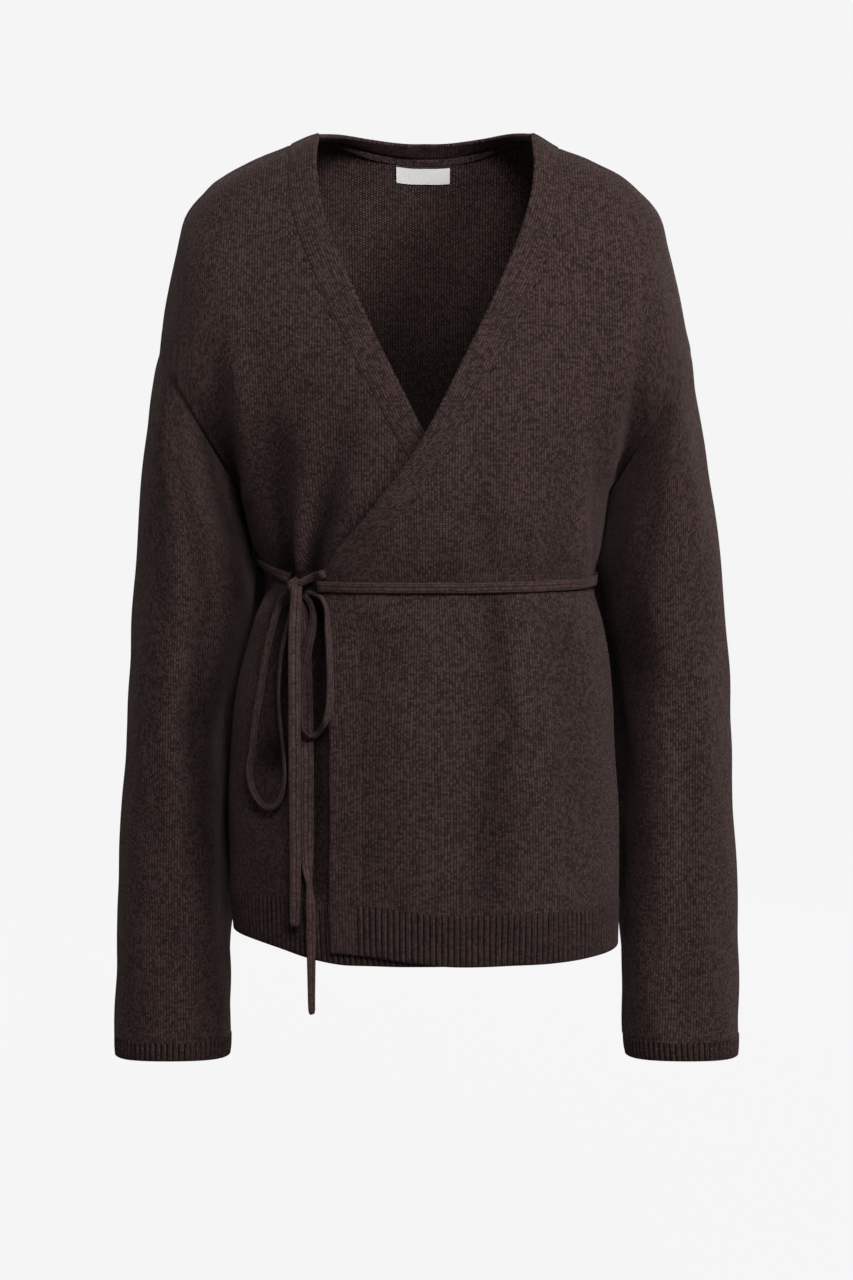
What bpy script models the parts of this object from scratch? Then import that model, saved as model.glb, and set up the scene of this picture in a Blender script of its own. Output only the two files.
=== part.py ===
"""Wrap cardigan in a plain knit, hollow as it is worn: a back, two crossing fronts, dropped sleeves,
ribbed hem and cuffs, a back neckband with a label under it, and a tie belt knotted at the wearer's right.

Metres, +Z up, the front towards -Y, +X towards the wearer's left. The origin is on the centre line
at the height of the neck points, where the shoulders carry the garment.
"""

import math
from collections import namedtuple

import bmesh
import bpy
import numpy as np
from mathutils.bvhtree import BVHTree

for old in list(bpy.data.objects):
    bpy.data.objects.remove(old, do_unlink=True)

# Cloth
CLOTH = 0.0025
SEAM_GAP = 0.0003
RIB_PITCH = 0.0054
RIB_HEIGHT = 0.0011

# Lengths down from the neck points, and reaches out from the centre line
HEM_BELOW = 0.661
HEM_RIB = 0.040
UNDERARM_BELOW = 0.290
UNDERARM_REACH = 0.150
DROP_BELOW = 0.174
DROP_REACH = 0.2155
ARMHOLE_DEPTH = 0.066
CUFF_RIB = 0.014

# The wrap: the left front lies on the right one
LAP_LIFT = 0.0042
LAP_FREE = 0.140
LAP_FADE = 0.050
EDGE_STRIP = 0.024
EDGE_RAISE = 0.0008
HEM_EDGE_STRIP = 0.016
WAIST_BELOW = 0.365
WAIST_GROOVE = 0.0025

# Body sections are rounded rectangles of this power; 2 would be an ellipse
SECTION_POWER = 2.3

BodySection = namedtuple("BodySection", "below right left front back")
BODY = [
    BodySection(0.290, 0.150, 0.150, 0.122, 0.103),
    BodySection(0.330, 0.141, 0.143, 0.118, 0.097),
    BodySection(0.366, 0.130, 0.138, 0.112, 0.092),
    BodySection(0.400, 0.140, 0.146, 0.114, 0.096),
    BodySection(0.450, 0.153, 0.153, 0.119, 0.105),
    BodySection(0.500, 0.159, 0.1555, 0.122, 0.111),
    BodySection(0.560, 0.1615, 0.159, 0.123, 0.114),
    BodySection(0.620, 0.160, 0.159, 0.123, 0.114),
    BodySection(0.661, 0.157, 0.158, 0.121, 0.112),
]

# The shoulder line on either side, from the centre of the neck to the dropped end, all in the plane y = 0
ShoulderPoint = namedtuple("ShoulderPoint", "right left height")
SHOULDER = [
    ShoulderPoint(0.000, 0.000, 0.010),
    ShoulderPoint(0.045, 0.045, 0.008),
    ShoulderPoint(0.0872, 0.0872, 0.000),
    ShoulderPoint(0.1100, 0.1040, -0.009),
    ShoulderPoint(0.1395, 0.1340, -0.022),
    ShoulderPoint(0.1740, 0.1695, -0.042),
    ShoulderPoint(0.1945, 0.1905, -0.067),
    ShoulderPoint(0.2025, 0.1985, -0.096),
    ShoulderPoint(0.2095, 0.2065, -0.130),
    ShoulderPoint(DROP_REACH, DROP_REACH, -DROP_BELOW),
]

# The centre lines of the yoke, as shares of the way up from the underarm to the neck
CentrePoint = namedtuple("CentrePoint", "share depth height")
CENTRE_FRONT = [
    CentrePoint(0.00, 0.122, -0.290),
    CentrePoint(0.20, 0.120, -0.225),
    CentrePoint(0.40, 0.111, -0.160),
    CentrePoint(0.60, 0.092, -0.095),
    CentrePoint(0.80, 0.062, -0.036),
    CentrePoint(0.92, 0.030, -0.002),
    CentrePoint(1.00, 0.000, 0.010),
]
CENTRE_BACK = [
    CentrePoint(0.00, 0.103, -0.290),
    CentrePoint(0.20, 0.106, -0.225),
    CentrePoint(0.40, 0.104, -0.155),
    CentrePoint(0.60, 0.096, -0.085),
    CentrePoint(0.78, 0.082, -0.028),
    CentrePoint(0.85, 0.072, -0.008),
    CentrePoint(0.93, 0.044, 0.006),
    CentrePoint(1.00, 0.000, 0.010),
]

# The crossing neck edges: how far the left front's edge is from the centre line, negative past it
EdgePoint = namedtuple("EdgePoint", "below reach")
V_EDGE = [
    EdgePoint(-0.010, 0.0870),
    EdgePoint(0.000, 0.0872),
    EdgePoint(0.030, 0.0880),
    EdgePoint(0.056, 0.0840),
    EdgePoint(0.085, 0.0750),
    EdgePoint(0.117, 0.0620),
    EdgePoint(0.156, 0.0440),
    EdgePoint(0.199, 0.0225),
    EdgePoint(0.239, 0.0020),
    EdgePoint(0.262, -0.0120),
    EdgePoint(0.300, -0.0400),
    EdgePoint(0.346, -0.0745),
    EdgePoint(0.362, -0.0790),
    EdgePoint(0.400, -0.0755),
    EdgePoint(0.450, -0.0745),
    EdgePoint(0.700, -0.0745),
]

# The largest folds: soft troughs that run from one place to another. Reach is along x, widths and
# depths change evenly from start to end, and a negative depth is a ridge.
Fold = namedtuple("Fold", "reach0 below0 reach1 below1 width0 width1 depth0 depth1")
RIGHT_FRONT_FOLDS = [
    Fold(-0.119, 0.215, -0.111, 0.352, 0.014, 0.007, 0.0015, 0.0095),
    Fold(-0.062, 0.225, -0.092, 0.355, 0.018, 0.008, 0.0015, 0.0095),
    Fold(-0.0885, 0.374, -0.086, 0.600, 0.0085, 0.010, 0.0120, 0.0060),
    Fold(-0.1120, 0.380, -0.125, 0.500, 0.009, 0.018, 0.0080, 0.0015),
    Fold(-0.101, 0.300, -0.1015, 0.352, 0.009, 0.006, -0.0015, -0.0040),
]
LAP_FOLDS = [
    Fold(-0.046, 0.400, -0.043, 0.610, 0.020, 0.026, 0.0030, 0.0030),
    Fold(0.050, 0.390, 0.052, 0.640, 0.022, 0.028, 0.0030, 0.0035),
]
LEFT_FRONT_FOLDS = [
    Fold(0.118, 0.250, 0.100, 0.350, 0.016, 0.010, 0.0010, 0.0035),
    Fold(0.112, 0.400, 0.118, 0.560, 0.010, 0.022, 0.0040, 0.0015),
]
BACK_FOLDS = [
    Fold(-0.105, 0.235, -0.070, 0.350, 0.018, 0.012, 0.0010, 0.0045),
    Fold(0.104, 0.230, 0.066, 0.352, 0.018, 0.012, 0.0010, 0.0040),
    Fold(-0.080, 0.385, -0.088, 0.610, 0.014, 0.028, 0.0045, 0.0030),
    Fold(0.000, 0.395, 0.004, 0.640, 0.016, 0.030, 0.0035, 0.0035),
    Fold(0.078, 0.385, 0.084, 0.600, 0.014, 0.028, 0.0045, 0.0030),
]

# Rings down a sleeve: back is how far its middle lies behind the shoulder line, and tuck how far its
# inner back quarter lies in behind the body
SleeveRing = namedtuple(
    "SleeveRing", "outer_below outer_reach inner_below inner_reach half_depth back tuck"
)
RIGHT_SLEEVE = [
    SleeveRing(DROP_BELOW, DROP_REACH, UNDERARM_BELOW, UNDERARM_REACH, ARMHOLE_DEPTH, 0.000, 0.000),
    SleeveRing(0.225, 0.2255, 0.318, 0.1490, 0.066, 0.001, 0.006),
    SleeveRing(0.285, 0.2325, 0.352, 0.1440, 0.065, 0.004, 0.024),
    SleeveRing(0.345, 0.2370, 0.392, 0.1460, 0.063, 0.008, 0.035),
    SleeveRing(0.405, 0.2415, 0.435, 0.1570, 0.061, 0.011, 0.034),
    SleeveRing(0.465, 0.2450, 0.482, 0.1670, 0.059, 0.012, 0.032),
    SleeveRing(0.530, 0.2490, 0.540, 0.1690, 0.057, 0.012, 0.032),
    SleeveRing(0.600, 0.2520, 0.605, 0.1670, 0.055, 0.011, 0.030),
    SleeveRing(0.670, 0.2540, 0.672, 0.1630, 0.053, 0.009, 0.016),
    SleeveRing(0.738, 0.2560, 0.738, 0.1610, 0.050, 0.008, 0.003),
    SleeveRing(0.752, 0.2550, 0.752, 0.1625, 0.0485, 0.008, 0.002),
]
LEFT_SLEEVE = [
    SleeveRing(DROP_BELOW, DROP_REACH, UNDERARM_BELOW, UNDERARM_REACH, ARMHOLE_DEPTH, 0.000, 0.000),
    SleeveRing(0.225, 0.2225, 0.318, 0.1510, 0.066, 0.001, 0.005),
    SleeveRing(0.285, 0.2335, 0.352, 0.1480, 0.065, 0.004, 0.020),
    SleeveRing(0.345, 0.2425, 0.392, 0.1510, 0.063, 0.008, 0.030),
    SleeveRing(0.405, 0.2475, 0.435, 0.1590, 0.061, 0.010, 0.031),
    SleeveRing(0.465, 0.2510, 0.482, 0.1645, 0.059, 0.011, 0.031),
    SleeveRing(0.530, 0.2535, 0.540, 0.1670, 0.057, 0.011, 0.031),
    SleeveRing(0.600, 0.2560, 0.605, 0.1665, 0.055, 0.010, 0.028),
    SleeveRing(0.670, 0.2578, 0.672, 0.1645, 0.053, 0.009, 0.014),
    SleeveRing(0.738, 0.2590, 0.738, 0.1635, 0.050, 0.008, 0.003),
    SleeveRing(0.752, 0.2578, 0.752, 0.1650, 0.0485, 0.008, 0.002),
]

# Sleeve folds: turn is round the sleeve, 0 outside, 90 in front, 180 inside; along is 0 to 1 down it
SleeveFold = namedtuple("SleeveFold", "turn0 along0 turn1 along1 width0 width1 depth0 depth1")
SLEEVE_FOLDS = [
    SleeveFold(62, 0.02, 118, 0.30, 17, 24, 0.0020, 0.0050),
    SleeveFold(118, 0.30, 112, 0.62, 24, 30, 0.0050, 0.0015),
    SleeveFold(300, 0.04, 238, 0.34, 18, 24, 0.0020, 0.0050),
    SleeveFold(60, 0.40, 96, 0.74, 20, 26, 0.0010, 0.0030),
    SleeveFold(286, 0.42, 250, 0.78, 22, 26, 0.0010, 0.0035),
]

# How finely the walls are divided
LOWER_LEVELS = (0.0, 0.115, 0.23, 0.345, 0.46, 0.56, 0.65, 0.715, 0.765, 0.81, 0.865, 0.93, 1.0)
YOKE_ROWS = 11
STRIP_COLUMNS = (0.0, 0.012, 0.0225, 0.0265)
LEFT_FRONT_COLUMNS = 13
RIGHT_FRONT_COLUMNS = 20
BACK_SIDE_COLUMNS = 8
SLEEVE_ROWS = 15


def smooth(share):
    """An even step from 0 to 1."""
    t = np.clip(share, 0.0, 1.0)
    return t * t * (3.0 - 2.0 * t)


def unit(vectors):
    return vectors / np.maximum(np.linalg.norm(vectors, axis=-1, keepdims=True), 1e-12)


def points(x, y, z):
    return np.stack(np.broadcast_arrays(x, y, z), axis=-1).astype(float)


def through(table, at, first=0):
    """A smooth curve through the rows of a table, whose first column is where each row lies."""
    rows = np.array(table, float)
    keys, values = rows[:, first], np.delete(rows, first, axis=1)
    slopes = np.gradient(values, keys, axis=0)
    at = np.clip(at, keys[0], keys[-1])
    i = np.clip(np.searchsorted(keys, at, side="right") - 1, 0, len(keys) - 2)
    span = (keys[i + 1] - keys[i])[..., None]
    t = (at - keys[i])[..., None] / span
    start = (1 + 2 * t) * (1 - t) ** 2 * values[i] + t * (1 - t) ** 2 * span * slopes[i]
    end = t * t * (3 - 2 * t) * values[i + 1] - t * t * (1 - t) * span * slopes[i + 1]
    return start + end


def by_length(table):
    """The rows of a table of places, led by the share of the way along the line through them."""
    rows = np.array(table, float)
    steps = np.linalg.norm(np.diff(rows, axis=0), axis=1)
    along = np.concatenate([[0.0], np.cumsum(steps)])
    return np.column_stack([along / along[-1], rows])


SHOULDER_RIGHT = by_length([(p.right, p.height) for p in SHOULDER])
SHOULDER_LEFT = by_length([(p.left, p.height) for p in SHOULDER])
NECK_SHARE = float(np.interp(0.0872, SHOULDER_LEFT[:, 1], SHOULDER_LEFT[:, 0]))


def body_section(sigma, below, face):
    """A horizontal section: sigma is 0 at the centre, 1 and -1 at the side seams; face is -1 in front."""
    right, left, front, back = np.moveaxis(through(BODY, below), -1, 0)
    angle = np.abs(sigma) * math.pi / 2
    reach = np.where(sigma >= 0, left, -right) * np.sin(angle) ** (2 / SECTION_POWER)
    depth = front if face < 0 else back
    return points(reach, face * depth * np.cos(angle) ** (2 / SECTION_POWER), -below)


def armhole(share, side, face):
    """The seam between body and sleeve: pointed at the underarm, share 0, and round at the drop, 1."""
    rise = np.sin(share * math.pi / 2)
    reach = UNDERARM_REACH + (DROP_REACH - UNDERARM_REACH) * rise
    below = UNDERARM_BELOW + (DROP_BELOW - UNDERARM_BELOW) * rise
    return points(side * reach, face * ARMHOLE_DEPTH * np.sin(share * math.pi), -below)


def yoke(sigma, share, face):
    """The form above the underarm: a patch between the section there, the shoulder line, the centre
    line and the armhole."""
    side = np.where(sigma >= 0, 1.0, -1.0)
    out = np.abs(sigma)
    up = smooth(share)[..., None]
    across = (out**3)[..., None]
    line = np.where(side[..., None] > 0, through(SHOULDER_LEFT, out), through(SHOULDER_RIGHT, out))
    reach, height = np.moveaxis(line, -1, 0)
    bottom = body_section(sigma, np.full_like(out, UNDERARM_BELOW), face)
    top = points(side * reach, 0.0, height)
    depth, rise = np.moveaxis(through(CENTRE_FRONT if face < 0 else CENTRE_BACK, share), -1, 0)
    inner = points(0.0, face * depth, rise)
    outer = armhole(share, side, face)
    first, last = np.zeros_like(out), np.ones_like(out)
    inner_ends = (1 - up) * body_section(first, np.full_like(out, UNDERARM_BELOW), face)
    inner_ends = inner_ends + up * points(first, first, SHOULDER[0].height)
    outer_ends = (1 - up) * armhole(first, side, face) + up * armhole(last, side, face)
    lofted = (1 - up) * bottom + up * top
    return lofted + (1 - across) * (inner - inner_ends) + across * (outer - outer_ends)


def hem_raise(reach, face, lapping):
    """How much higher than level the hem hangs: at the tied side, and at the lapping front's corner."""
    tied = 0.014 * smooth((-reach - 0.060) / 0.090)
    corner = 0.010 * (1 - smooth((reach + 0.0745) / 0.110)) if lapping else 0.0
    return tied * (0.0 if lapping else 1.0) + corner


def form(sigma, level, face, lapping=False):
    """The garment's smooth form: level 0 is the hem, 1 the underarm and 2 the shoulder line."""
    sigma, level = np.broadcast_arrays(np.asarray(sigma, float), np.asarray(level, float))
    down = 1 - np.clip(level, 0.0, 1.0)
    below = UNDERARM_BELOW + (HEM_BELOW - UNDERARM_BELOW) * down
    lower = body_section(sigma, below, face)
    lower[..., 2] += hem_raise(lower[..., 0], face, lapping) * down
    upper = yoke(sigma, np.clip(level - 1, 0.0, 1.0), face)
    return np.where((level <= 1)[..., None], lower, upper)


def trough(folds, reach, below):
    """How deep the folds are at a place of the front or back."""
    total = np.zeros_like(reach)
    for f in folds:
        run = np.array([f.reach1 - f.reach0, f.below1 - f.below0])
        t = ((reach - f.reach0) * run[0] + (below - f.below0) * run[1]) / (run @ run)
        along = np.clip(t, 0.0, 1.0)
        off = np.hypot(reach - f.reach0 - along * run[0], below - f.below0 - along * run[1])
        width = f.width0 + (f.width1 - f.width0) * along
        total += (f.depth0 + (f.depth1 - f.depth0) * along) * np.exp(-((off / width) ** 2))
    return total


def normals(grid):
    """The outward directions of a grid whose columns run towards +X and rows upwards, in front."""
    return unit(np.cross(np.gradient(grid, axis=1), np.gradient(grid, axis=0)))


def draped(sigma, level, face, folds, lapping=False):
    """The outer points of a panel on the form, with its folds, the belt's groove and the lap."""
    grid = form(sigma, level, face, lapping)
    reach, below = grid[..., 0], -grid[..., 2]
    out = normals(grid) * -face
    move = -trough(folds, reach, below)
    move -= WAIST_GROOVE * np.exp(-(((below - WAIST_BELOW) / 0.013) ** 2))
    if lapping:
        lap = smooth((LAP_FREE - reach) / LAP_FADE) * smooth((below - 0.150) / 0.080)
        move = move + LAP_LIFT * lap
    side = 1 - smooth((np.abs(sigma) - 0.90) / 0.09)
    return grid + out * (move * side)[..., None]


def armhole_normals(share, side, face):
    """Directions in the armhole's plane, out of the arm, so that both walls meet face to face there."""
    step = 1e-3
    tangent = armhole(share + step, side, face) - armhole(share - step, side, face)
    ends = (share < step) | (share > 1 - step)
    tangent[ends] = (0.0, face, 0.0)
    axis = np.array([side * (UNDERARM_BELOW - DROP_BELOW), 0.0, -(DROP_REACH - UNDERARM_REACH)])
    out = unit(np.cross(tangent, unit(axis)))
    centre = (armhole(np.zeros(1), side, face) + armhole(np.ones(1), side, face)) / 2
    outward = ((armhole(share, side, face) - centre) * out).sum(-1)
    return out * np.sign(outward)[..., None]


def mesh_object(name, corners, faces, material):
    """A closed solid with its faces pointing out."""
    mesh = bpy.data.meshes.new(name)
    mesh.from_pydata([tuple(c) for c in corners], [], faces)
    work = bmesh.new()
    work.from_mesh(mesh)
    bmesh.ops.recalc_face_normals(work, faces=work.faces)
    work.to_mesh(mesh)
    work.free()
    made = bpy.data.objects.new(name, mesh)
    bpy.context.scene.collection.objects.link(made)
    mesh.materials.append(material)
    mesh.shade_smooth()
    mesh.set_sharp_from_angle(angle=math.radians(40))
    return made


def wall(name, outer, inner, material, around=False):
    """A solid between two grids of points; around joins the last column to the first."""
    rows, columns = outer.shape[:2]
    corners = np.concatenate([outer.reshape(-1, 3), inner.reshape(-1, 3)])
    count = rows * columns
    strips = columns if around else columns - 1
    faces = []

    def at(row, column, layer):
        return layer * count + row * columns + column % columns

    for row in range(rows - 1):
        for column in range(strips):
            for layer in (0, 1):
                ring = [
                    at(row, column, layer),
                    at(row, column + 1, layer),
                    at(row + 1, column + 1, layer),
                    at(row + 1, column, layer),
                ]
                if corners[ring[0]][0] < 0:
                    ring = ring[1:] + ring[:1]
                faces.append(ring if layer == 0 else ring[::-1])
    for column in range(strips):
        for row in (0, rows - 1):
            faces.append(
                [
                    at(row, column, 0),
                    at(row, column, 1),
                    at(row, column + 1, 1),
                    at(row, column + 1, 0),
                ]
            )
    if not around:
        for row in range(rows - 1):
            for column in (0, columns - 1):
                faces.append(
                    [
                        at(row, column, 0),
                        at(row + 1, column, 0),
                        at(row + 1, column, 1),
                        at(row, column, 1),
                    ]
                )
    return mesh_object(name, corners, faces, material)


def finish(name, colour, roughness):
    """A Principled finish with one colour."""
    material = bpy.data.materials.new(name)
    material.use_nodes = True
    shader = material.node_tree.nodes["Principled BSDF"]
    shader.inputs["Base Color"].default_value = (*colour, 1.0)
    shader.inputs["Roughness"].default_value = roughness
    shader.inputs["Metallic"].default_value = 0.0
    return material


KNIT = finish("brown_knit", (0.052, 0.037, 0.034), 0.9)
LABEL_SATIN = finish("label_satin", (0.80, 0.79, 0.76), 0.5)


def panel(name, sigma, level, face, folds, thickness, lapping=False, armholes=(1,)):
    """A front or back: its wall, cut at the plane of the side and shoulder seams and at the armholes."""
    outer = draped(sigma, level, face, folds, lapping)
    out = normals(outer) * -face
    seams = (np.abs(sigma) > 0.9999) & (level <= 1.0001) | (level > 1.9999)
    out[seams, 1] = 0.0
    out[0, :, 2] = 0.0
    out = unit(out)
    for side in armholes:
        column = -1 if side > 0 else 0
        upper = level[:, column] >= 0.9999
        share = level[upper, column] - 1
        outer[upper, column] = armhole(share, side, face)
        out[upper, column] = armhole_normals(share, side, face)
    inner = outer - out * thickness[..., None]
    for grid in (outer, inner):
        if face < 0:
            grid[..., 1] = np.minimum(grid[..., 1], -SEAM_GAP / 2)
        else:
            grid[..., 1] = np.maximum(grid[..., 1], SEAM_GAP / 2)
    wall(name, outer, inner, KNIT)
    return outer, inner


RIB_TOP_LEVEL = HEM_RIB / (HEM_BELOW - UNDERARM_BELOW)
SEAM_LEVEL = SEAM_GAP / 2 / (HEM_BELOW - UNDERARM_BELOW)


def panel_levels():
    """The rows of a panel, from just above the hem rib to the shoulder line."""
    start = RIB_TOP_LEVEL + SEAM_LEVEL
    lower = start + (1 - start) * np.array(LOWER_LEVELS)
    return np.concatenate([lower, 1 + np.arange(1, YOKE_ROWS + 1) / YOKE_ROWS])


def edge_sigma(level, side):
    """Where each row of a front meets its neck or front edge, found by halving."""
    low = np.full_like(level, -0.75)
    high = np.full_like(level, 0.75)
    for _ in range(40):
        middle = (low + high) / 2
        place = form(side * middle, level, -1)
        reach = through(V_EDGE, -place[..., 2])[..., 0]
        past = side * place[..., 0] > reach
        high = np.where(past, middle, high)
        low = np.where(past, low, middle)
    return side * (low + high) / 2


def front_columns(level, side, count):
    """The sigma of each point of a front: a strip of even width at the edge, then even steps to the side."""
    edge = edge_sigma(level, side)
    fine = np.linspace(0.0, 1.0, 81)
    across = edge[:, None] + (side - edge[:, None]) * fine
    row = form(across, np.broadcast_to(level[:, None], across.shape), -1)
    steps = np.linalg.norm(np.diff(row, axis=1), axis=2)
    along = np.concatenate([np.zeros((len(level), 1)), np.cumsum(steps, axis=1)], axis=1)
    sigma = []
    for k, length in enumerate(along[:, -1]):
        rest = np.linspace(STRIP_COLUMNS[-1], length, count + 1)[1:]
        at = np.concatenate([STRIP_COLUMNS, rest])
        sigma.append(np.interp(at, along[k], across[k]))
    sigma = np.array(sigma)
    sigma[:, -1] = side
    return sigma


def front(name, side, count, folds, lapping):
    """One front, with its doubled edge strip standing a little proud."""
    level = panel_levels()
    sigma = front_columns(level, side, count)
    grid_level = np.broadcast_to(level[:, None], sigma.shape)
    strip = np.array([x < EDGE_STRIP for x in STRIP_COLUMNS] + [False] * count)
    if side < 0:
        sigma, strip = sigma[:, ::-1], strip[::-1]
    thickness = np.where(strip, CLOTH + EDGE_RAISE, CLOTH) + np.zeros(sigma.shape)
    return panel(name, sigma, grid_level, -1, folds, thickness, lapping, (side,))


LEFT_FOLDS = LAP_FOLDS + LEFT_FRONT_FOLDS
RIGHT_FOLDS = LAP_FOLDS + RIGHT_FRONT_FOLDS
LEFT_WALL = front("front_left", 1, LEFT_FRONT_COLUMNS, LEFT_FOLDS, True)
RIGHT_WALL = front("front_right", -1, RIGHT_FRONT_COLUMNS, RIGHT_FOLDS, False)

# The back: its rows are drawn down in the middle, where the neck is cut out
BACK_NECK_SHARE = 0.825
BAND_TOP_SHARE = 0.868
NECK_CURVE = 2.3
BAND_REACH = 0.0100
SHOULDER_LENGTH = 0.325
NECK_COLUMNS = (0.0, 0.125, 0.235, 0.38, 0.52, 0.66, 0.79, 0.90, 1.0)


def back_neck(psi, inset):
    """The neck edge of the back: psi is 0 at the centre, 1 at the shoulder line, and inset runs from
    the panel's edge, 0, to the band's top, 1. Gives sigma and the share of the yoke."""
    end = NECK_SHARE + (1 - inset) * BAND_REACH / SHOULDER_LENGTH
    low = BACK_NECK_SHARE + (BAND_TOP_SHARE - BACK_NECK_SHARE) * inset
    return end * psi, 1 - (1 - low) * (1 - np.abs(psi) ** NECK_CURVE)


def back_panel():
    level = panel_levels()
    neck_end = back_neck(1.0, 0.0)[0]
    beyond = np.linspace(neck_end, 1.0, BACK_SIDE_COLUMNS + 1)[1:]
    half = np.concatenate([neck_end * np.array(NECK_COLUMNS), beyond])
    sigma = np.concatenate([-half[:0:-1], half])
    psi = np.clip(np.abs(sigma) / neck_end, 0.0, 1.0)
    top = back_neck(psi, 0.0)[1]
    share = np.clip(level[:, None] - 1, 0.0, 1.0)
    rows = np.minimum(level[:, None], 1.0) + share * top[None, :]
    sigma = np.broadcast_to(sigma, rows.shape).copy()
    thickness = np.full(sigma.shape, CLOTH)
    return panel("back", sigma, rows, 1, BACK_FOLDS, thickness, False, (1, -1))


BACK_WALL = back_panel()


# Hem ribs, one under each panel
def hem_rib(name, sigma_ends, face, folds, lapping=False, plain=0.0):
    """A band of ribs along the hem; plain is the length of its smooth start at a front edge."""
    fine = np.linspace(sigma_ends[0], sigma_ends[1], 400)
    row = form(fine, np.full_like(fine, RIB_TOP_LEVEL / 2), face, lapping)
    along = np.concatenate([[0.0], np.cumsum(np.linalg.norm(np.diff(row, axis=0), axis=1))])
    ribs = round((along[-1] - plain) / RIB_PITCH)
    at = plain + np.linspace(0.0, along[-1] - plain, 2 * ribs + 1)
    raised = np.where(np.arange(len(at)) % 2 == 1, RIB_HEIGHT, 0.0)
    if plain:
        at = np.concatenate([[0.0, plain / 2], at])
        raised = np.concatenate([[RIB_HEIGHT, RIB_HEIGHT], raised])
    sigma = np.interp(at, along, fine)
    if sigma_ends[1] < sigma_ends[0]:
        sigma, raised = sigma[::-1], raised[::-1]
    level = np.array([0.0, RIB_TOP_LEVEL - SEAM_LEVEL])
    grid_sigma, grid_level = np.broadcast_arrays(sigma, level[:, None])
    outer = draped(grid_sigma, grid_level, face, folds, lapping)
    out = normals(outer) * -face
    ends = np.abs(grid_sigma) > 0.9999
    out[ends, 1] = 0.0
    out[..., 2] = 0.0
    out = unit(out)
    inner = outer - out * CLOTH
    outer = outer - out * RIB_HEIGHT / 2 + out * raised[:, None]
    for grid in (outer, inner):
        if face < 0:
            grid[..., 1] = np.minimum(grid[..., 1], -SEAM_GAP / 2)
        else:
            grid[..., 1] = np.maximum(grid[..., 1], SEAM_GAP / 2)
    wall(name, outer, inner, KNIT)


HEM_MIDDLE = np.array([RIB_TOP_LEVEL / 2])
LEFT_EDGE = float(edge_sigma(HEM_MIDDLE, 1)[0])
RIGHT_EDGE = float(edge_sigma(HEM_MIDDLE, -1)[0])
hem_rib("hem_rib_front_left", (LEFT_EDGE, 1.0), -1, LEFT_FOLDS, True, HEM_EDGE_STRIP)
hem_rib("hem_rib_front_right", (RIGHT_EDGE, -1.0), -1, RIGHT_FOLDS, False, HEM_EDGE_STRIP)
hem_rib("hem_rib_back", (-1.0, 1.0), 1, BACK_FOLDS)


# Sleeves: tubes whose first ring is the armhole
TUCK_TURN = math.radians(238)
TUCK_WIDTH = math.radians(30)


def sleeve_form(table, side, turn, along):
    """A point of a sleeve's form; turn in radians as in SLEEVE_FOLDS, along from 0 to 1 down the arm."""
    rows = np.array(table, float)
    keyed = np.column_stack([np.linspace(0.0, 1.0, len(rows)), rows])
    outer_below, outer_reach, inner_below, inner_reach, half_depth, back, tuck = np.moveaxis(
        through(keyed, along), -1, 0
    )
    power = 1 + smooth(along / 0.35)
    share = np.abs(np.cos(turn / 2)) ** power
    reach = inner_reach + (outer_reach - inner_reach) * share
    below = inner_below + (outer_below - inner_below) * share
    reach = reach - tuck * np.exp(-(((turn - TUCK_TURN) / TUCK_WIDTH) ** 2))
    return points(side * reach, back - half_depth * np.sin(turn), -below)


def sleeve_trough(turn, along):
    total = np.zeros_like(turn)
    degrees = np.degrees(turn)
    for f in SLEEVE_FOLDS:
        t = np.clip((along - f.along0) / (f.along1 - f.along0), 0.0, 1.0)
        centre = f.turn0 + (f.turn1 - f.turn0) * t
        width = f.width0 + (f.width1 - f.width0) * t
        past = (along - (f.along0 + (f.along1 - f.along0) * t)) / 0.05
        away = ((degrees - centre) / width) ** 2 + past**2
        total += (f.depth0 + (f.depth1 - f.depth0) * t) * np.exp(-away)
    return total


def tube_normals(grid, side):
    """Outward directions of a grid whose rows go round and whose columns close on themselves."""
    round_it = np.roll(grid, -1, axis=1) - np.roll(grid, 1, axis=1)
    return unit(np.cross(round_it, np.gradient(grid, axis=0))) * side


CUFF_SHARE = 1 - 1 / (len(RIGHT_SLEEVE) - 1)
CUFF_TOP_BELOW = RIGHT_SLEEVE[-2].outer_below


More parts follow.
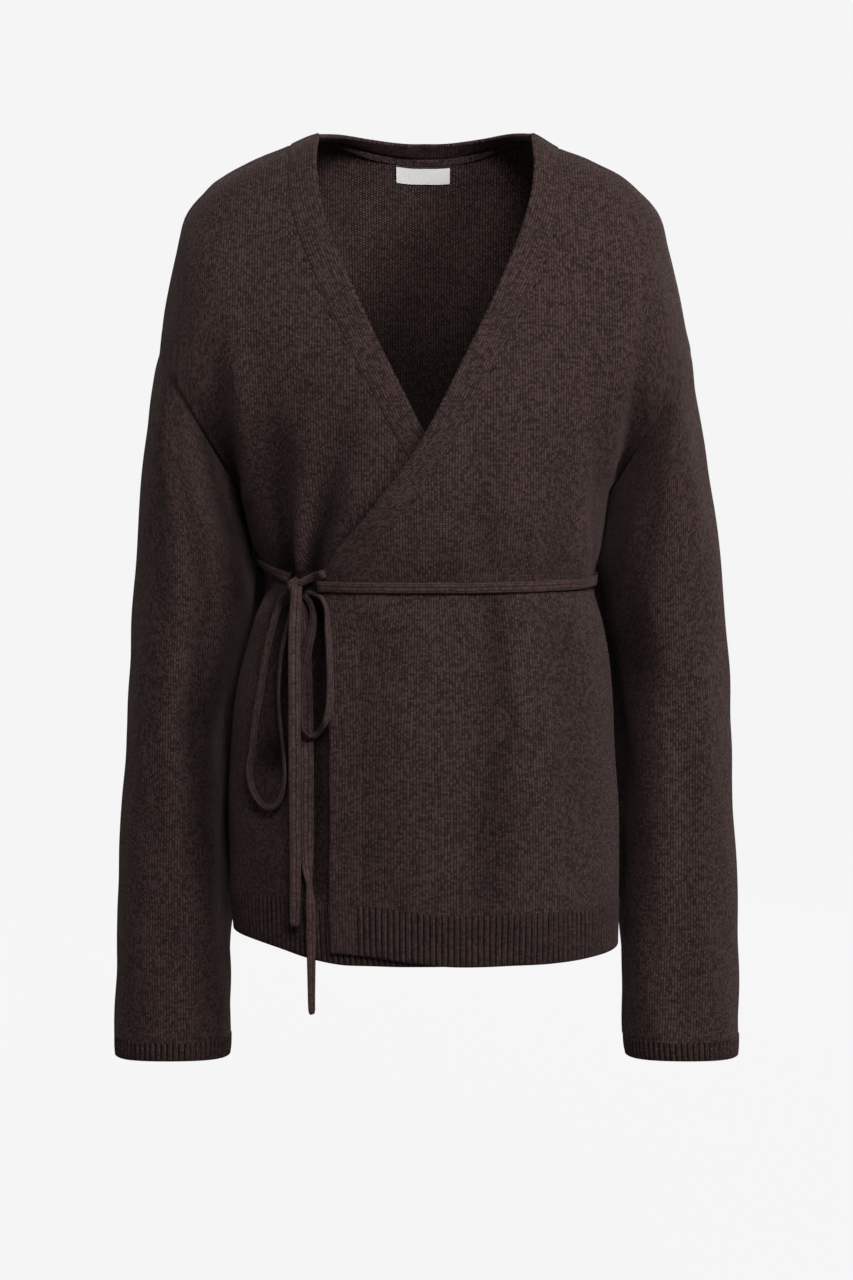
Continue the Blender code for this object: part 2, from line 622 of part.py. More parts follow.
def sleeve(name, cuff_name, table, side):
    """A sleeve and its cuff rib."""
    columns = 2 * YOKE_ROWS
    turn = np.arange(columns) * 2 * math.pi / columns
    along = CUFF_SHARE * np.linspace(0.0, 1.0, SLEEVE_ROWS + 1)
    turns, alongs = np.meshgrid(turn, along)
    outer = sleeve_form(table, side, turns, alongs)
    out = tube_normals(outer, side)
    outer = outer - out * sleeve_trough(turns, alongs)[..., None]
    outer[-1, :, 2] += SEAM_GAP
    out = tube_normals(outer, side)
    axis = np.array([UNDERARM_BELOW - DROP_BELOW, 0.0, -(DROP_REACH - UNDERARM_REACH)])
    away = unit(axis * np.array([side, 1.0, 1.0]))
    face = np.where(turn <= math.pi, -1.0, 1.0)
    share = np.where(turn <= math.pi, 1 - turn / math.pi, turn / math.pi - 1)
    for k in range(columns):
        seam = armhole(share[k : k + 1], side, face[k])[0]
        outer[0, k] = seam + away * SEAM_GAP
        out[0, k] = armhole_normals(share[k : k + 1], side, face[k])[0]
    inner = outer - out * CLOTH
    for grid in (outer, inner):
        grid[-1, :, 2] = SEAM_GAP - CUFF_TOP_BELOW
    wall(name, outer, inner, KNIT, around=True)

    fine = np.linspace(0.0, 2 * math.pi, 400)
    ring = sleeve_form(table, side, fine, np.full_like(fine, 1.0))
    length = np.concatenate([[0.0], np.cumsum(np.linalg.norm(np.diff(ring, axis=0), axis=1))])
    ribs = round(length[-1] / RIB_PITCH)
    turn = np.interp(np.arange(2 * ribs) / (2 * ribs) * length[-1], length, fine)
    turns, alongs = np.meshgrid(turn, [CUFF_SHARE, 1.0])
    outer = sleeve_form(table, side, turns, alongs)
    out = tube_normals(outer, side)
    raised = np.where(np.arange(len(turn)) % 2 == 1, RIB_HEIGHT, 0.0)[:, None]
    inner = outer - out * CLOTH
    outer = outer - out * RIB_HEIGHT / 2 + out * raised
    for grid in (outer, inner):
        grid[0, :, 2] = -CUFF_TOP_BELOW
        grid[1, :, 2] = -table[-1].outer_below
    wall(cuff_name, outer, inner, KNIT, around=True)


sleeve("sleeve_right", "cuff_rib_right", RIGHT_SLEEVE, -1)
sleeve("sleeve_left", "cuff_rib_left", LEFT_SLEEVE, 1)


# Back neck: a band in two halves that meet at the centre back, a tape below it and the label
Strip = namedtuple("Strip", "top bottom thickness columns")
TAPE = Strip(0.0006, 0.0052, 0.0009, len(NECK_COLUMNS) - 3)
LABEL = Strip(0.0068, 0.0220, 0.0007, 2)
BAND_THICKNESS = 0.0034


def neckband(name, side):
    """One half of the band; its foot follows the back's top edge."""
    outer, inner = BACK_WALL
    middle = outer.shape[1] // 2
    last = len(NECK_COLUMNS) - 1
    order = range(0, last + 1) if side > 0 else range(-last, 1)
    columns = np.array([middle + k for k in order])
    rise = unit(outer[-1] - outer[-2])[columns]
    foot = outer[-1, columns] + rise * SEAM_GAP
    foot_inner = inner[-1, columns] + rise * SEAM_GAP
    psi = side * np.array(NECK_COLUMNS)[:: 1 if side > 0 else -1]
    sigma, share = back_neck(psi[None, :], np.array([0.5, 1.0])[:, None])
    above = form(sigma, 1 + share, 1)
    out = -normals(above)
    outer_wall = np.concatenate([foot[None], above])
    inner_wall = np.concatenate([foot_inner[None], above - out * BAND_THICKNESS])
    for grid in (outer_wall, inner_wall):
        grid[..., 1] = np.maximum(grid[..., 1], SEAM_GAP / 2)
        centre = 0 if side > 0 else -1
        grid[:, centre, 0] = side * SEAM_GAP / 2
    wall(name, outer_wall, inner_wall, KNIT)


neckband("neckband_left", 1)
neckband("neckband_right", -1)


def inside_back(name, strip, material):
    """A strip inside the back: top and bottom are lengths down from its top row of points, and it
    reaches a number of the back's columns to both sides."""
    outer, inner = BACK_WALL
    middle = outer.shape[1] // 2
    columns = np.arange(middle - strip.columns, middle + strip.columns + 1)
    upper, lower = inner[-1, columns], inner[-2, columns]
    down = unit(lower - upper)
    into = unit(inner[-1, columns] - outer[-1, columns])
    rows = np.stack([upper + down * strip.bottom, upper + down * strip.top])
    near = SEAM_GAP * 1.3
    wall(name, rows + into * near, rows + into * (near + strip.thickness), material)


inside_back("neck_tape", TAPE, KNIT)
inside_back("label", LABEL, LABEL_SATIN)

# Tie belt: flat straps, sewn to the left front's edge and tied in a bow at the wearer's right
TIE_WIDTH = 0.0098
TIE_THICKNESS = 0.0026
TIE_CLEAR = 0.0008
BELT_END = -0.1110
Knot = namedtuple("Knot", "x z lift")
KNOT = Knot(-0.1020, -0.3635, -0.0010)
KNOT_RADII = (0.0082, 0.0062, 0.0068)

# Rows of places on a strap's middle line: lift is the room between its back and the most forward
# cloth behind it, and turned is how far its face looks away from the front, 90 being edge on
TiePoint = namedtuple("TiePoint", "x z lift turned width")
LOOP_LEFT = [
    TiePoint(-0.1086, -0.3690, 0.0040, 20, 0.50),
    TiePoint(-0.1145, -0.3755, 0.0040, 40, 0.80),
    TiePoint(-0.1188, -0.3846, 0.0036, 45, 0.90),
    TiePoint(-0.1232, -0.3987, 0.0030, 50, 0.90),
    TiePoint(-0.1271, -0.4169, 0.0022, 50, 0.90),
    TiePoint(-0.1299, -0.4374, 0.0014, 50, 0.90),
    TiePoint(-0.1356, -0.4681, 0.0010, 52, 0.90),
    TiePoint(-0.1388, -0.4949, 0.0010, 55, 0.90),
    TiePoint(-0.1408, -0.5123, 0.0000, 60, 0.90),
    TiePoint(-0.1385, -0.5248, 0.0000, 66, 0.90),
    TiePoint(-0.1330, -0.5340, 0.0000, 70, 0.90),
    TiePoint(-0.1254, -0.5390, 0.0000, 72, 0.90),
    TiePoint(-0.1190, -0.5370, 0.0000, 74, 0.90),
    TiePoint(-0.1151, -0.5304, 0.0000, 76, 0.90),
    TiePoint(-0.1122, -0.5170, 0.0000, 78, 0.90),
    TiePoint(-0.1127, -0.4989, 0.0010, 80, 0.90),
    TiePoint(-0.1151, -0.4768, 0.0012, 80, 0.90),
    TiePoint(-0.1170, -0.4547, 0.0014, 80, 0.90),
    TiePoint(-0.1166, -0.4330, 0.0018, 80, 0.90),
    TiePoint(-0.1136, -0.4100, 0.0022, 76, 0.80),
    TiePoint(-0.1088, -0.3900, 0.0020, 70, 0.65),
    TiePoint(-0.1056, -0.3790, 0.0016, 60, 0.55),
    TiePoint(-0.1044, -0.3711, 0.0016, 60, 0.45),
]
LOOP_RIGHT = [
    TiePoint(-0.0933, -0.3642, 0.0060, 10, 0.42),
    TiePoint(-0.0875, -0.3652, 0.0125, 20, 0.50),
    TiePoint(-0.0818, -0.3692, 0.0095, 50, 0.55),
    TiePoint(-0.0788, -0.3755, 0.0062, 66, 0.75),
    TiePoint(-0.0769, -0.3939, 0.0036, 68, 0.90),
    TiePoint(-0.0749, -0.4230, 0.0036, 62, 0.90),
    TiePoint(-0.0746, -0.4402, 0.0036, 58, 0.90),
    TiePoint(-0.0769, -0.4622, 0.0036, 60, 0.90),
    TiePoint(-0.0832, -0.4756, 0.0040, 64, 0.90),
    TiePoint(-0.0910, -0.4810, 0.0050, 66, 0.90),
    TiePoint(-0.0972, -0.4760, 0.0056, 60, 0.90),
    TiePoint(-0.0995, -0.4654, 0.0060, 50, 0.90),
    TiePoint(-0.0993, -0.4520, 0.0064, 40, 0.90),
    TiePoint(-0.0975, -0.4379, 0.0064, 30, 0.90),
    TiePoint(-0.0952, -0.4230, 0.0064, 25, 0.90),
    TiePoint(-0.0930, -0.4088, 0.0064, 25, 0.90),
    TiePoint(-0.0900, -0.3970, 0.0064, 30, 0.80),
    TiePoint(-0.0890, -0.3860, 0.0064, 40, 0.70),
    TiePoint(-0.0912, -0.3765, 0.0060, 30, 0.55),
    TiePoint(-0.0962, -0.3697, 0.0055, 20, 0.40),
]
END_SHORT = [
    TiePoint(-0.1022, -0.3714, 0.0085, 0, 0.80),
    TiePoint(-0.1027, -0.3790, 0.0125, 0, 0.95),
    TiePoint(-0.1031, -0.3902, 0.0155, 0, 1.00),
    TiePoint(-0.1031, -0.4528, 0.0170, 0, 1.00),
    TiePoint(-0.1031, -0.5311, 0.0100, 6, 0.97),
    TiePoint(-0.1031, -0.5937, 0.0060, 4, 0.92),
    TiePoint(-0.1033, -0.6290, 0.0050, 0, 0.90),
    TiePoint(-0.1033, -0.6312, 0.0050, 0, 0.55),
]
END_LONG = [
    TiePoint(-0.0992, -0.3716, 0.0008, 40, 0.42),
    TiePoint(-0.0978, -0.3780, 0.0008, 44, 0.60),
    TiePoint(-0.0960, -0.3874, 0.0010, 40, 0.80),
    TiePoint(-0.0950, -0.4071, 0.0010, 10, 0.90),
    TiePoint(-0.0941, -0.4543, 0.0010, 0, 1.05),
    TiePoint(-0.0937, -0.5016, 0.0010, 0, 1.12),
    TiePoint(-0.0937, -0.5567, 0.0018, 0, 1.10),
    TiePoint(-0.0934, -0.5840, 0.0024, 20, 1.00),
    TiePoint(-0.0920, -0.5980, 0.0024, 66, 0.90),
    TiePoint(-0.0909, -0.6120, 0.0024, 30, 0.85),
    TiePoint(-0.0905, -0.6354, 0.0024, 10, 0.80),
    TiePoint(-0.0903, -0.6708, 0.0024, 30, 0.72),
    TiePoint(-0.0900, -0.6985, 0.0024, 40, 0.65),
    TiePoint(-0.0899, -0.7007, 0.0024, 40, 0.45),
]
TIE_SHORT = [
    TiePoint(-0.0770, -0.3502, -0.0009, 0, 0.62),
    TiePoint(-0.0868, -0.3545, 0.0030, 0, 0.62),
    TiePoint(-0.0957, -0.3583, 0.0050, 0, 0.58),
]

# Half heights and half thicknesses round a strap's section, as shares
STRAP_SECTION = ((1.0, 0.0), (0.78, 1.0), (-0.78, 1.0), (-1.0, 0.0), (-0.78, -1.0), (0.78, -1.0))


def grid_tree(grid):
    """The cloth's outer face, for measuring how far forward it stands."""
    rows, columns = grid.shape[:2]
    quads = []
    for row in range(rows - 1):
        for column in range(columns - 1):
            low = row * columns + column
            quads.append([low, low + 1, low + 1 + columns, low + columns])
    return BVHTree.FromPolygons([tuple(p) for p in grid.reshape(-1, 3)], quads)


FRONT_TREES = [grid_tree(LEFT_WALL[0]), grid_tree(RIGHT_WALL[0])]


def cloth_front(x, z, reach=0.0045):
    """The depth of the cloth at its most forward, seen from the front, within a reach to both sides."""
    found = []
    for tree in FRONT_TREES:
        for aside in (-reach, 0.0, reach):
            hit = tree.ray_cast((x + aside, -1.0, z), (0.0, 1.0, 0.0))[0]
            if hit is not None:
                found.append(hit[1])
    return min(found) if found else None


def strap(name, middle, faces_out, widths, thickness=TIE_THICKNESS):
    """A flat strap along a line of points, each with the direction its face looks."""
    along = unit(np.gradient(middle, axis=0))
    faces_out = unit(faces_out - (faces_out * along).sum(-1, keepdims=True) * along)
    across = np.cross(along, faces_out)
    corners = []
    for place, side, out, width in zip(middle, across, faces_out, widths):
        for wide, thick in STRAP_SECTION:
            corner = place + side * wide * width / 2
            corners.append(corner + out * thick * thickness / 2)
    sides = len(STRAP_SECTION)
    count = len(middle)
    faces = []
    for k in range(count - 1):
        for j in range(sides):
            after = (j + 1) % sides
            low, high = k * sides, (k + 1) * sides
            faces.append([low + j, low + after, high + after, high + j])
    faces.append(list(range(sides)))
    faces.append([(count - 1) * sides + j for j in range(sides)])
    mesh_object(name, np.array(corners), faces, KNIT)


def hanging(name, table, count):
    """A strap in front of the cloth, on a smooth line through the rows of a table."""
    rows = np.array(table, float)
    steps = np.hypot(np.diff(rows[:, 0]), np.diff(rows[:, 1]))
    along = np.concatenate([[0.0], np.cumsum(steps)])
    keyed = np.column_stack([along, rows])
    at = through(keyed, np.linspace(0.0, along[-1], count))
    edge_on = np.abs(np.sin(np.radians(at[:, 3])))
    half = at[:, 4] * TIE_WIDTH / 2
    depth = []
    for (x, z), aside in zip(at[:, :2], half * np.cos(np.radians(at[:, 3])) + 0.001):
        found = cloth_front(x, z, aside)
        depth.append(found if found is not None else depth[-1])
    depth = np.array(depth)
    depth[1:-1] = np.minimum(depth[1:-1], (depth[:-2] + depth[1:-1] + depth[2:]) / 3)
    behind = at[:, 2] + edge_on * half + (1 - edge_on) * TIE_THICKNESS / 2
    middle = points(at[:, 0], depth - behind, at[:, 1])
    tangent = unit(np.gradient(middle, axis=0))
    front = np.array([0.0, -1.0, 0.0])
    front = unit(front - (tangent @ front)[:, None] * tangent)
    aside = np.cross(front, tangent)
    turned = np.radians(at[:, 3])[:, None]
    strap(name, middle, front * np.cos(turned) + aside * np.sin(turned), at[:, 4] * TIE_WIDTH)


def ellipsoid(name, centre, radii, rings, sides):
    """A round lump: the knot's body."""
    lat = np.linspace(-math.pi / 2, math.pi / 2, rings + 1)[1:-1]
    lon = np.arange(sides) * 2 * math.pi / sides
    lats, lons = np.meshgrid(lat, lon, indexing="ij")
    ring = points(np.cos(lats) * np.cos(lons), np.cos(lats) * np.sin(lons), np.sin(lats))
    corners = np.concatenate([ring.reshape(-1, 3), [[0, 0, -1], [0, 0, 1]]])
    low, high = len(corners) - 2, len(corners) - 1
    faces = []
    for row in range(rings - 2):
        for column in range(sides):
            after = (column + 1) % sides
            base, above = row * sides, (row + 1) * sides
            faces.append([base + column, base + after, above + after, above + column])
    last = (rings - 2) * sides
    for column in range(sides):
        after = (column + 1) % sides
        faces.append([column, low, after])
        faces.append([last + column, last + after, high])
    mesh_object(name, centre + corners * radii, faces, KNIT)


def at_height(column, z):
    """The place on a panel's column of points at a height."""
    return np.array([np.interp(z, column[:, 2], column[:, k]) for k in range(3)])


def belt_height(reach, face):
    """Where the belt lies: level in front, rising to the wearer's right and falling again to the left."""
    if face < 0:
        return -0.3620 + 0.0190 * float(smooth((-reach - 0.096) / 0.044))
    return -0.3515 - 0.0085 * min(max(reach / 0.135, -1.0), 1.0)


def belt_long():
    """The long strap: from the left front's edge round the body to the knot."""
    stations = []
    left, right, back = LEFT_WALL[0], RIGHT_WALL[0], BACK_WALL[0]
    path = [(left[:, k], -1) for k in range(left.shape[1] - 1)]
    path += [(back[:, k], 1) for k in range(back.shape[1] - 1, -1, -1)]
    path += [(right[:, k], -1) for k in range(1, right.shape[1])]
    half = TIE_WIDTH * 0.9 / 2
    for column, face in path:
        middle = at_height(column, belt_height(at_height(column, -0.36)[0], face))
        top = at_height(column, middle[2] + half)
        bottom = at_height(column, middle[2] - half)
        stations.append((top, bottom, middle))
    top, bottom, middle = (np.array(part) for part in zip(*stations))
    round_back = np.arange(len(middle)) > left.shape[1] + back.shape[1]
    last = np.argmax((middle[:, 0] > BELT_END) & round_back)
    share = (BELT_END - middle[last - 1, 0]) / (middle[last, 0] - middle[last - 1, 0])
    for row in (top, bottom):
        row[last] = row[last - 1] + (row[last] - row[last - 1]) * share
    top, bottom = top[: last + 1], bottom[: last + 1]
    mid = (top + bottom) / 2
    along = unit(np.gradient(mid, axis=0))
    out = unit(np.cross(along, unit(top - bottom)))
    centre = mid + out * (TIE_CLEAR + TIE_THICKNESS / 2)
    start = centre[0] - along[0] * 0.0045
    centre = np.concatenate([[start], centre])
    out = np.concatenate([out[:1], out])
    strap("belt_long", centre, out, np.full(len(centre), 2 * half))


belt_long()
hanging("tie_end_long", END_LONG, 26)
hanging("bow_loop_right", LOOP_RIGHT, 36)
hanging("bow_loop_left", LOOP_LEFT, 36)
hanging("tie_end_short", END_SHORT, 18)
hanging("tie_short", TIE_SHORT, 5)
knot_depth = min(cloth_front(KNOT.x, KNOT.z + rise, 0.004) for rise in (-0.003, 0.0, 0.003))
knot_depth -= KNOT.lift + KNOT_RADII[1]
ellipsoid("bow_knot", np.array([KNOT.x, knot_depth, KNOT.z]), np.array(KNOT_RADII), 8, 12)
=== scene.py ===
"""A wrap cardigan in plain dark knit, filled out as it is worn, with its own tie belt.

Metres, +Z up, the front towards -Y, +X towards the wearer's left. The origin lies between the two
neck points, where the shoulders carry the garment.
"""

import math
from collections import namedtuple

import bpy
import numpy as np
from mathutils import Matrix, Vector
from mathutils.bvhtree import BVHTree


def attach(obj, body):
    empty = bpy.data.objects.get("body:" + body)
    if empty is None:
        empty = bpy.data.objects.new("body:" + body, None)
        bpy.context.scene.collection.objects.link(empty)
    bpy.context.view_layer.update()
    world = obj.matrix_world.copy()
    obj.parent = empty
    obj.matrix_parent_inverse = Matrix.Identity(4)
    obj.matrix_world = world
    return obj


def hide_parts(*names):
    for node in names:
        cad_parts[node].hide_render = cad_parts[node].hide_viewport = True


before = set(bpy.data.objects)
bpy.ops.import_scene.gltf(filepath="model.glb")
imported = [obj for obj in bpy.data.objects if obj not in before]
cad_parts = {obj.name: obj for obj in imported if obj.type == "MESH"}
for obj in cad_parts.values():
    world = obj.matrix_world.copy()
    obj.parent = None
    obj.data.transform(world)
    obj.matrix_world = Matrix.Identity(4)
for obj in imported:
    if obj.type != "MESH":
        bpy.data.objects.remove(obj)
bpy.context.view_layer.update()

# The studio: a view of the front from breast height, a plain pale floor and soft light all round,
# with a large soft lamp high on the wearer's left and weaker ones behind for the edges.
VIEW_FROM = Vector((0.0, -2.8, -0.2))
VIEW_AT = Vector((0.001, 0.0, -0.4118))
FRAME_HEIGHT = 1280 * 0.00082
SENSOR = 36.0
camera = bpy.data.objects.new("camera", bpy.data.cameras.new("camera"))
camera.data.sensor_width = SENSOR
camera.data.lens = SENSOR * (VIEW_AT - VIEW_FROM).length / FRAME_HEIGHT
camera.data.clip_start = 0.05
camera.location = VIEW_FROM
camera.rotation_mode = "QUATERNION"
camera.rotation_quaternion = (VIEW_AT - VIEW_FROM).to_track_quat("-Z", "Y")
bpy.context.scene.collection.objects.link(camera)
bpy.context.scene.camera = camera
bpy.context.scene.view_settings.view_transform = "Standard"

Lamp = namedtuple("Lamp", "name place aim size power")
LAMPS = [
    Lamp("lamp_key", (2.2, -2.1, 1.5), (0.0, 0.0, -0.35), 1.2, 96.0),
    Lamp("lamp_front", (0.50, -2.8, 1.5), (0.0, 0.0, -0.25), 1.1, 65.0),
    Lamp("lamp_fill", (-1.9, -2.2, 0.5), (0.0, 0.0, -0.40), 1.8, 4.0),
    Lamp("lamp_edge_left", (1.7, 1.3, 0.3), (0.15, 0.0, -0.35), 1.0, 9.0),
    Lamp("lamp_edge_right", (-1.7, 1.3, 0.3), (-0.15, 0.0, -0.35), 1.0, 7.0),
    Lamp("lamp_back", (0.3, 2.8, 0.3), (0.0, 0.0, -0.40), 1.8, 36.0),
]
for lamp in LAMPS:
    light = bpy.data.lights.new(lamp.name, "AREA")
    light.shape = "DISK"
    light.size = lamp.size
    light.energy = lamp.power
    stand = bpy.data.objects.new(lamp.name, light)
    stand.location = lamp.place
    stand.rotation_mode = "QUATERNION"
    stand.rotation_quaternion = (Vector(lamp.aim) - Vector(lamp.place)).to_track_quat("-Z", "Y")
    bpy.context.scene.collection.objects.link(stand)

SURROUND = 0.913
SURROUND_LIGHT = 0.17
world = bpy.data.worlds.new("surround")
world.use_nodes = True
bpy.context.scene.world = world
surround = world.node_tree
surround.nodes.clear()
seen, lit, ray, mixed, out = (
    surround.nodes.new(kind)
    for kind in (
        "ShaderNodeBackground",
        "ShaderNodeBackground",
        "ShaderNodeLightPath",
        "ShaderNodeMixShader",
        "ShaderNodeOutputWorld",
    )
)
seen.inputs["Color"].default_value = (SURROUND, SURROUND, SURROUND, 1.0)
lit.inputs["Color"].default_value = (SURROUND_LIGHT, SURROUND_LIGHT, SURROUND_LIGHT, 1.0)
surround.links.new(ray.outputs["Is Camera Ray"], mixed.inputs[0])
surround.links.new(lit.outputs[0], mixed.inputs[1])
surround.links.new(seen.outputs[0], mixed.inputs[2])
surround.links.new(mixed.outputs[0], out.inputs["Surface"])

FLOOR_BELOW = 1.05
FLOOR_HALF = 14.0
floor_mesh = bpy.data.meshes.new("floor")
floor_mesh.from_pydata(
    [(x * FLOOR_HALF, y * FLOOR_HALF, -FLOOR_BELOW) for x, y in ((-1, -1), (1, -1), (1, 1), (-1, 1))],
    [],
    [(0, 1, 2, 3)],
)
floor = bpy.data.objects.new("floor", floor_mesh)
bpy.context.scene.collection.objects.link(floor)
floor.visible_diffuse = False
floor.visible_glossy = False
floor_finish = bpy.data.materials.new("pale_floor")
floor_finish.use_nodes = True
floor_shader = floor_finish.node_tree.nodes["Principled BSDF"]
floor_shader.inputs["Base Color"].default_value = (0.01, 0.01, 0.01, 1.0)
floor_shader.inputs["Roughness"].default_value = 1.0
floor_shader.inputs["Specular IOR Level"].default_value = 0.0
floor_shader.inputs["Emission Color"].default_value = (SURROUND, SURROUND, SURROUND, 1.0)
floor_shader.inputs["Emission Strength"].default_value = 0.995
floor_mesh.materials.append(floor_finish)


# The back: one piece of stocking stitch from the hem rib to the shoulder line, smooth side out and
# purl side in. Its form is a hollow torso with a dropped shoulder, drawn in at the waist by the belt.
HEM_BELOW = 0.661
HEM_RIB = 0.040
UNDERARM_BELOW = 0.290
UNDERARM_REACH = 0.150
DROP_BELOW = 0.174
DROP_REACH = 0.2155
ARMHOLE_DEPTH = 0.066
CLOTH = 0.0025
SECTION_POWER = 2.3
WAIST_BELOW = 0.365
WAIST_GROOVE = 0.0025

BodySection = namedtuple("BodySection", "below right left front back")
BODY = [
    BodySection(0.290, 0.150, 0.150, 0.122, 0.103),
    BodySection(0.330, 0.1425, 0.1445, 0.118, 0.097),
    BodySection(0.366, 0.130, 0.138, 0.112, 0.092),
    BodySection(0.400, 0.140, 0.146, 0.114, 0.096),
    BodySection(0.450, 0.153, 0.153, 0.119, 0.105),
    BodySection(0.500, 0.159, 0.1555, 0.122, 0.111),
    BodySection(0.560, 0.1615, 0.159, 0.123, 0.114),
    BodySection(0.620, 0.160, 0.159, 0.123, 0.114),
    BodySection(0.661, 0.157, 0.158, 0.121, 0.112),
]

# The shoulder line, from the centre of the neck to the dropped end, in the plane y = 0
ShoulderPoint = namedtuple("ShoulderPoint", "right left height")
SHOULDER = [
    ShoulderPoint(0.000, 0.000, 0.010),
    ShoulderPoint(0.045, 0.045, 0.008),
    ShoulderPoint(0.0872, 0.0872, 0.000),
    ShoulderPoint(0.1100, 0.1040, -0.009),
    ShoulderPoint(0.1395, 0.1340, -0.022),
    ShoulderPoint(0.1740, 0.1695, -0.042),
    ShoulderPoint(0.1945, 0.1905, -0.067),
    ShoulderPoint(0.2025, 0.1985, -0.096),
    ShoulderPoint(0.2095, 0.2065, -0.130),
    ShoulderPoint(DROP_REACH, DROP_REACH, -DROP_BELOW),
]

# The centre lines of the yoke, as shares of the way up from the underarm to the neck
CentrePoint = namedtuple("CentrePoint", "share depth height")
CENTRE_FRONT = [
    CentrePoint(0.00, 0.122, -0.290),
    CentrePoint(0.20, 0.120, -0.225),
    CentrePoint(0.40, 0.111, -0.160),
    CentrePoint(0.60, 0.092, -0.095),
    CentrePoint(0.80, 0.062, -0.036),
    CentrePoint(0.92, 0.030, -0.002),
    CentrePoint(1.00, 0.000, 0.010),
]
CENTRE_BACK = [
    CentrePoint(0.00, 0.103, -0.290),
    CentrePoint(0.20, 0.106, -0.225),
    CentrePoint(0.40, 0.104, -0.155),
    CentrePoint(0.60, 0.096, -0.085),
    CentrePoint(0.78, 0.082, -0.028),
    CentrePoint(0.85, 0.072, -0.008),
    CentrePoint(0.93, 0.044, 0.006),
    CentrePoint(1.00, 0.000, 0.010),
]

# Folds are soft troughs from one place to another: reach is along x, widths and depths change evenly
# from start to end, and a negative depth is a ridge
Fold = namedtuple("Fold", "reach0 below0 reach1 below1 width0 width1 depth0 depth1")
BACK_FOLDS = [
    Fold(-0.105, 0.235, -0.070, 0.350, 0.018, 0.012, 0.0010, 0.0045),
    Fold(0.104, 0.230, 0.066, 0.352, 0.018, 0.012, 0.0010, 0.0040),
    Fold(-0.080, 0.385, -0.088, 0.610, 0.014, 0.028, 0.0045, 0.0030),
    Fold(0.000, 0.395, 0.004, 0.640, 0.016, 0.030, 0.0035, 0.0035),
    Fold(0.078, 0.385, 0.084, 0.600, 0.014, 0.028, 0.0045, 0.0030),
    Fold(-0.030, 0.280, -0.020, 0.352, 0.014, 0.010, 0.0004, 0.0026),
    Fold(0.028, 0.290, 0.022, 0.352, 0.012, 0.009, 0.0004, 0.0022),
    Fold(-0.046, 0.388, -0.056, 0.480, 0.009, 0.014, 0.0028, 0.0004),
    Fold(0.040, 0.388, 0.050, 0.500, 0.009, 0.016, 0.0026, 0.0004),
    Fold(-0.112, 0.390, -0.120, 0.520, 0.010, 0.016, 0.0030, 0.0006),
    Fold(0.112, 0.388, 0.124, 0.540, 0.010, 0.018, 0.0030, 0.0006),
    Fold(-0.150, 0.200, -0.125, 0.300, 0.010, 0.016, 0.0006, 0.0026),
    Fold(0.150, 0.195, 0.122, 0.300, 0.010, 0.016, 0.0006, 0.0028),
    Fold(-0.020, 0.100, 0.024, 0.170, 0.030, 0.034, -0.0010, -0.0006),
]


def smooth(share):
    """An even step from 0 to 1."""
    t = np.clip(share, 0.0, 1.0)
    return t * t * (3.0 - 2.0 * t)


def unit(vectors):
    return vectors / np.maximum(np.linalg.norm(vectors, axis=-1, keepdims=True), 1e-12)


def points(x, y, z):
    return np.stack(np.broadcast_arrays(x, y, z), axis=-1).astype(float)


def through(table, at):
    """A smooth curve through the rows of a table, whose first column is where each row lies."""
    rows = np.array(table, float)
    keys, values = rows[:, 0], rows[:, 1:]
    slopes = np.gradient(values, keys, axis=0)
    at = np.clip(at, keys[0], keys[-1])
    i = np.clip(np.searchsorted(keys, at, side="right") - 1, 0, len(keys) - 2)
    span = (keys[i + 1] - keys[i])[..., None]
    t = (at - keys[i])[..., None] / span
    start = (1 + 2 * t) * (1 - t) ** 2 * values[i] + t * (1 - t) ** 2 * span * slopes[i]
    end = t * t * (3 - 2 * t) * values[i + 1] - t * t * (1 - t) * span * slopes[i + 1]
    return start + end


def by_length(rows):
    """The rows of a table of places, led by the share of the way along the line through them."""
    rows = np.array(rows, float)
    along = np.concatenate([[0.0], np.cumsum(np.linalg.norm(np.diff(rows, axis=0), axis=1))])
    return np.column_stack([along / along[-1], rows])


SHOULDER_RIGHT = by_length([(p.right, p.height) for p in SHOULDER])
SHOULDER_LEFT = by_length([(p.left, p.height) for p in SHOULDER])
NECK_SHARE = float(np.interp(0.0872, SHOULDER_LEFT[:, 1], SHOULDER_LEFT[:, 0]))


def body_section(sigma, below, face):
    """A level section: sigma is 0 at the centre, 1 and -1 at the side seams; face is -1 in front."""
    right, left, front, back = np.moveaxis(through(BODY, below), -1, 0)
    angle = np.abs(sigma) * math.pi / 2
    reach = np.where(sigma >= 0, left, -right) * np.sin(angle) ** (2 / SECTION_POWER)
    depth = front if face < 0 else back
    return points(reach, face * depth * np.cos(angle) ** (2 / SECTION_POWER), -below)


def armhole(share, side, face):
    """The seam between body and sleeve, from the underarm, share 0, to the drop, share 1."""
    rise = np.sin(share * math.pi / 2)
    reach = UNDERARM_REACH + (DROP_REACH - UNDERARM_REACH) * rise
    below = UNDERARM_BELOW + (DROP_BELOW - UNDERARM_BELOW) * rise
    return points(side * reach, face * ARMHOLE_DEPTH * np.sin(share * math.pi), -below)


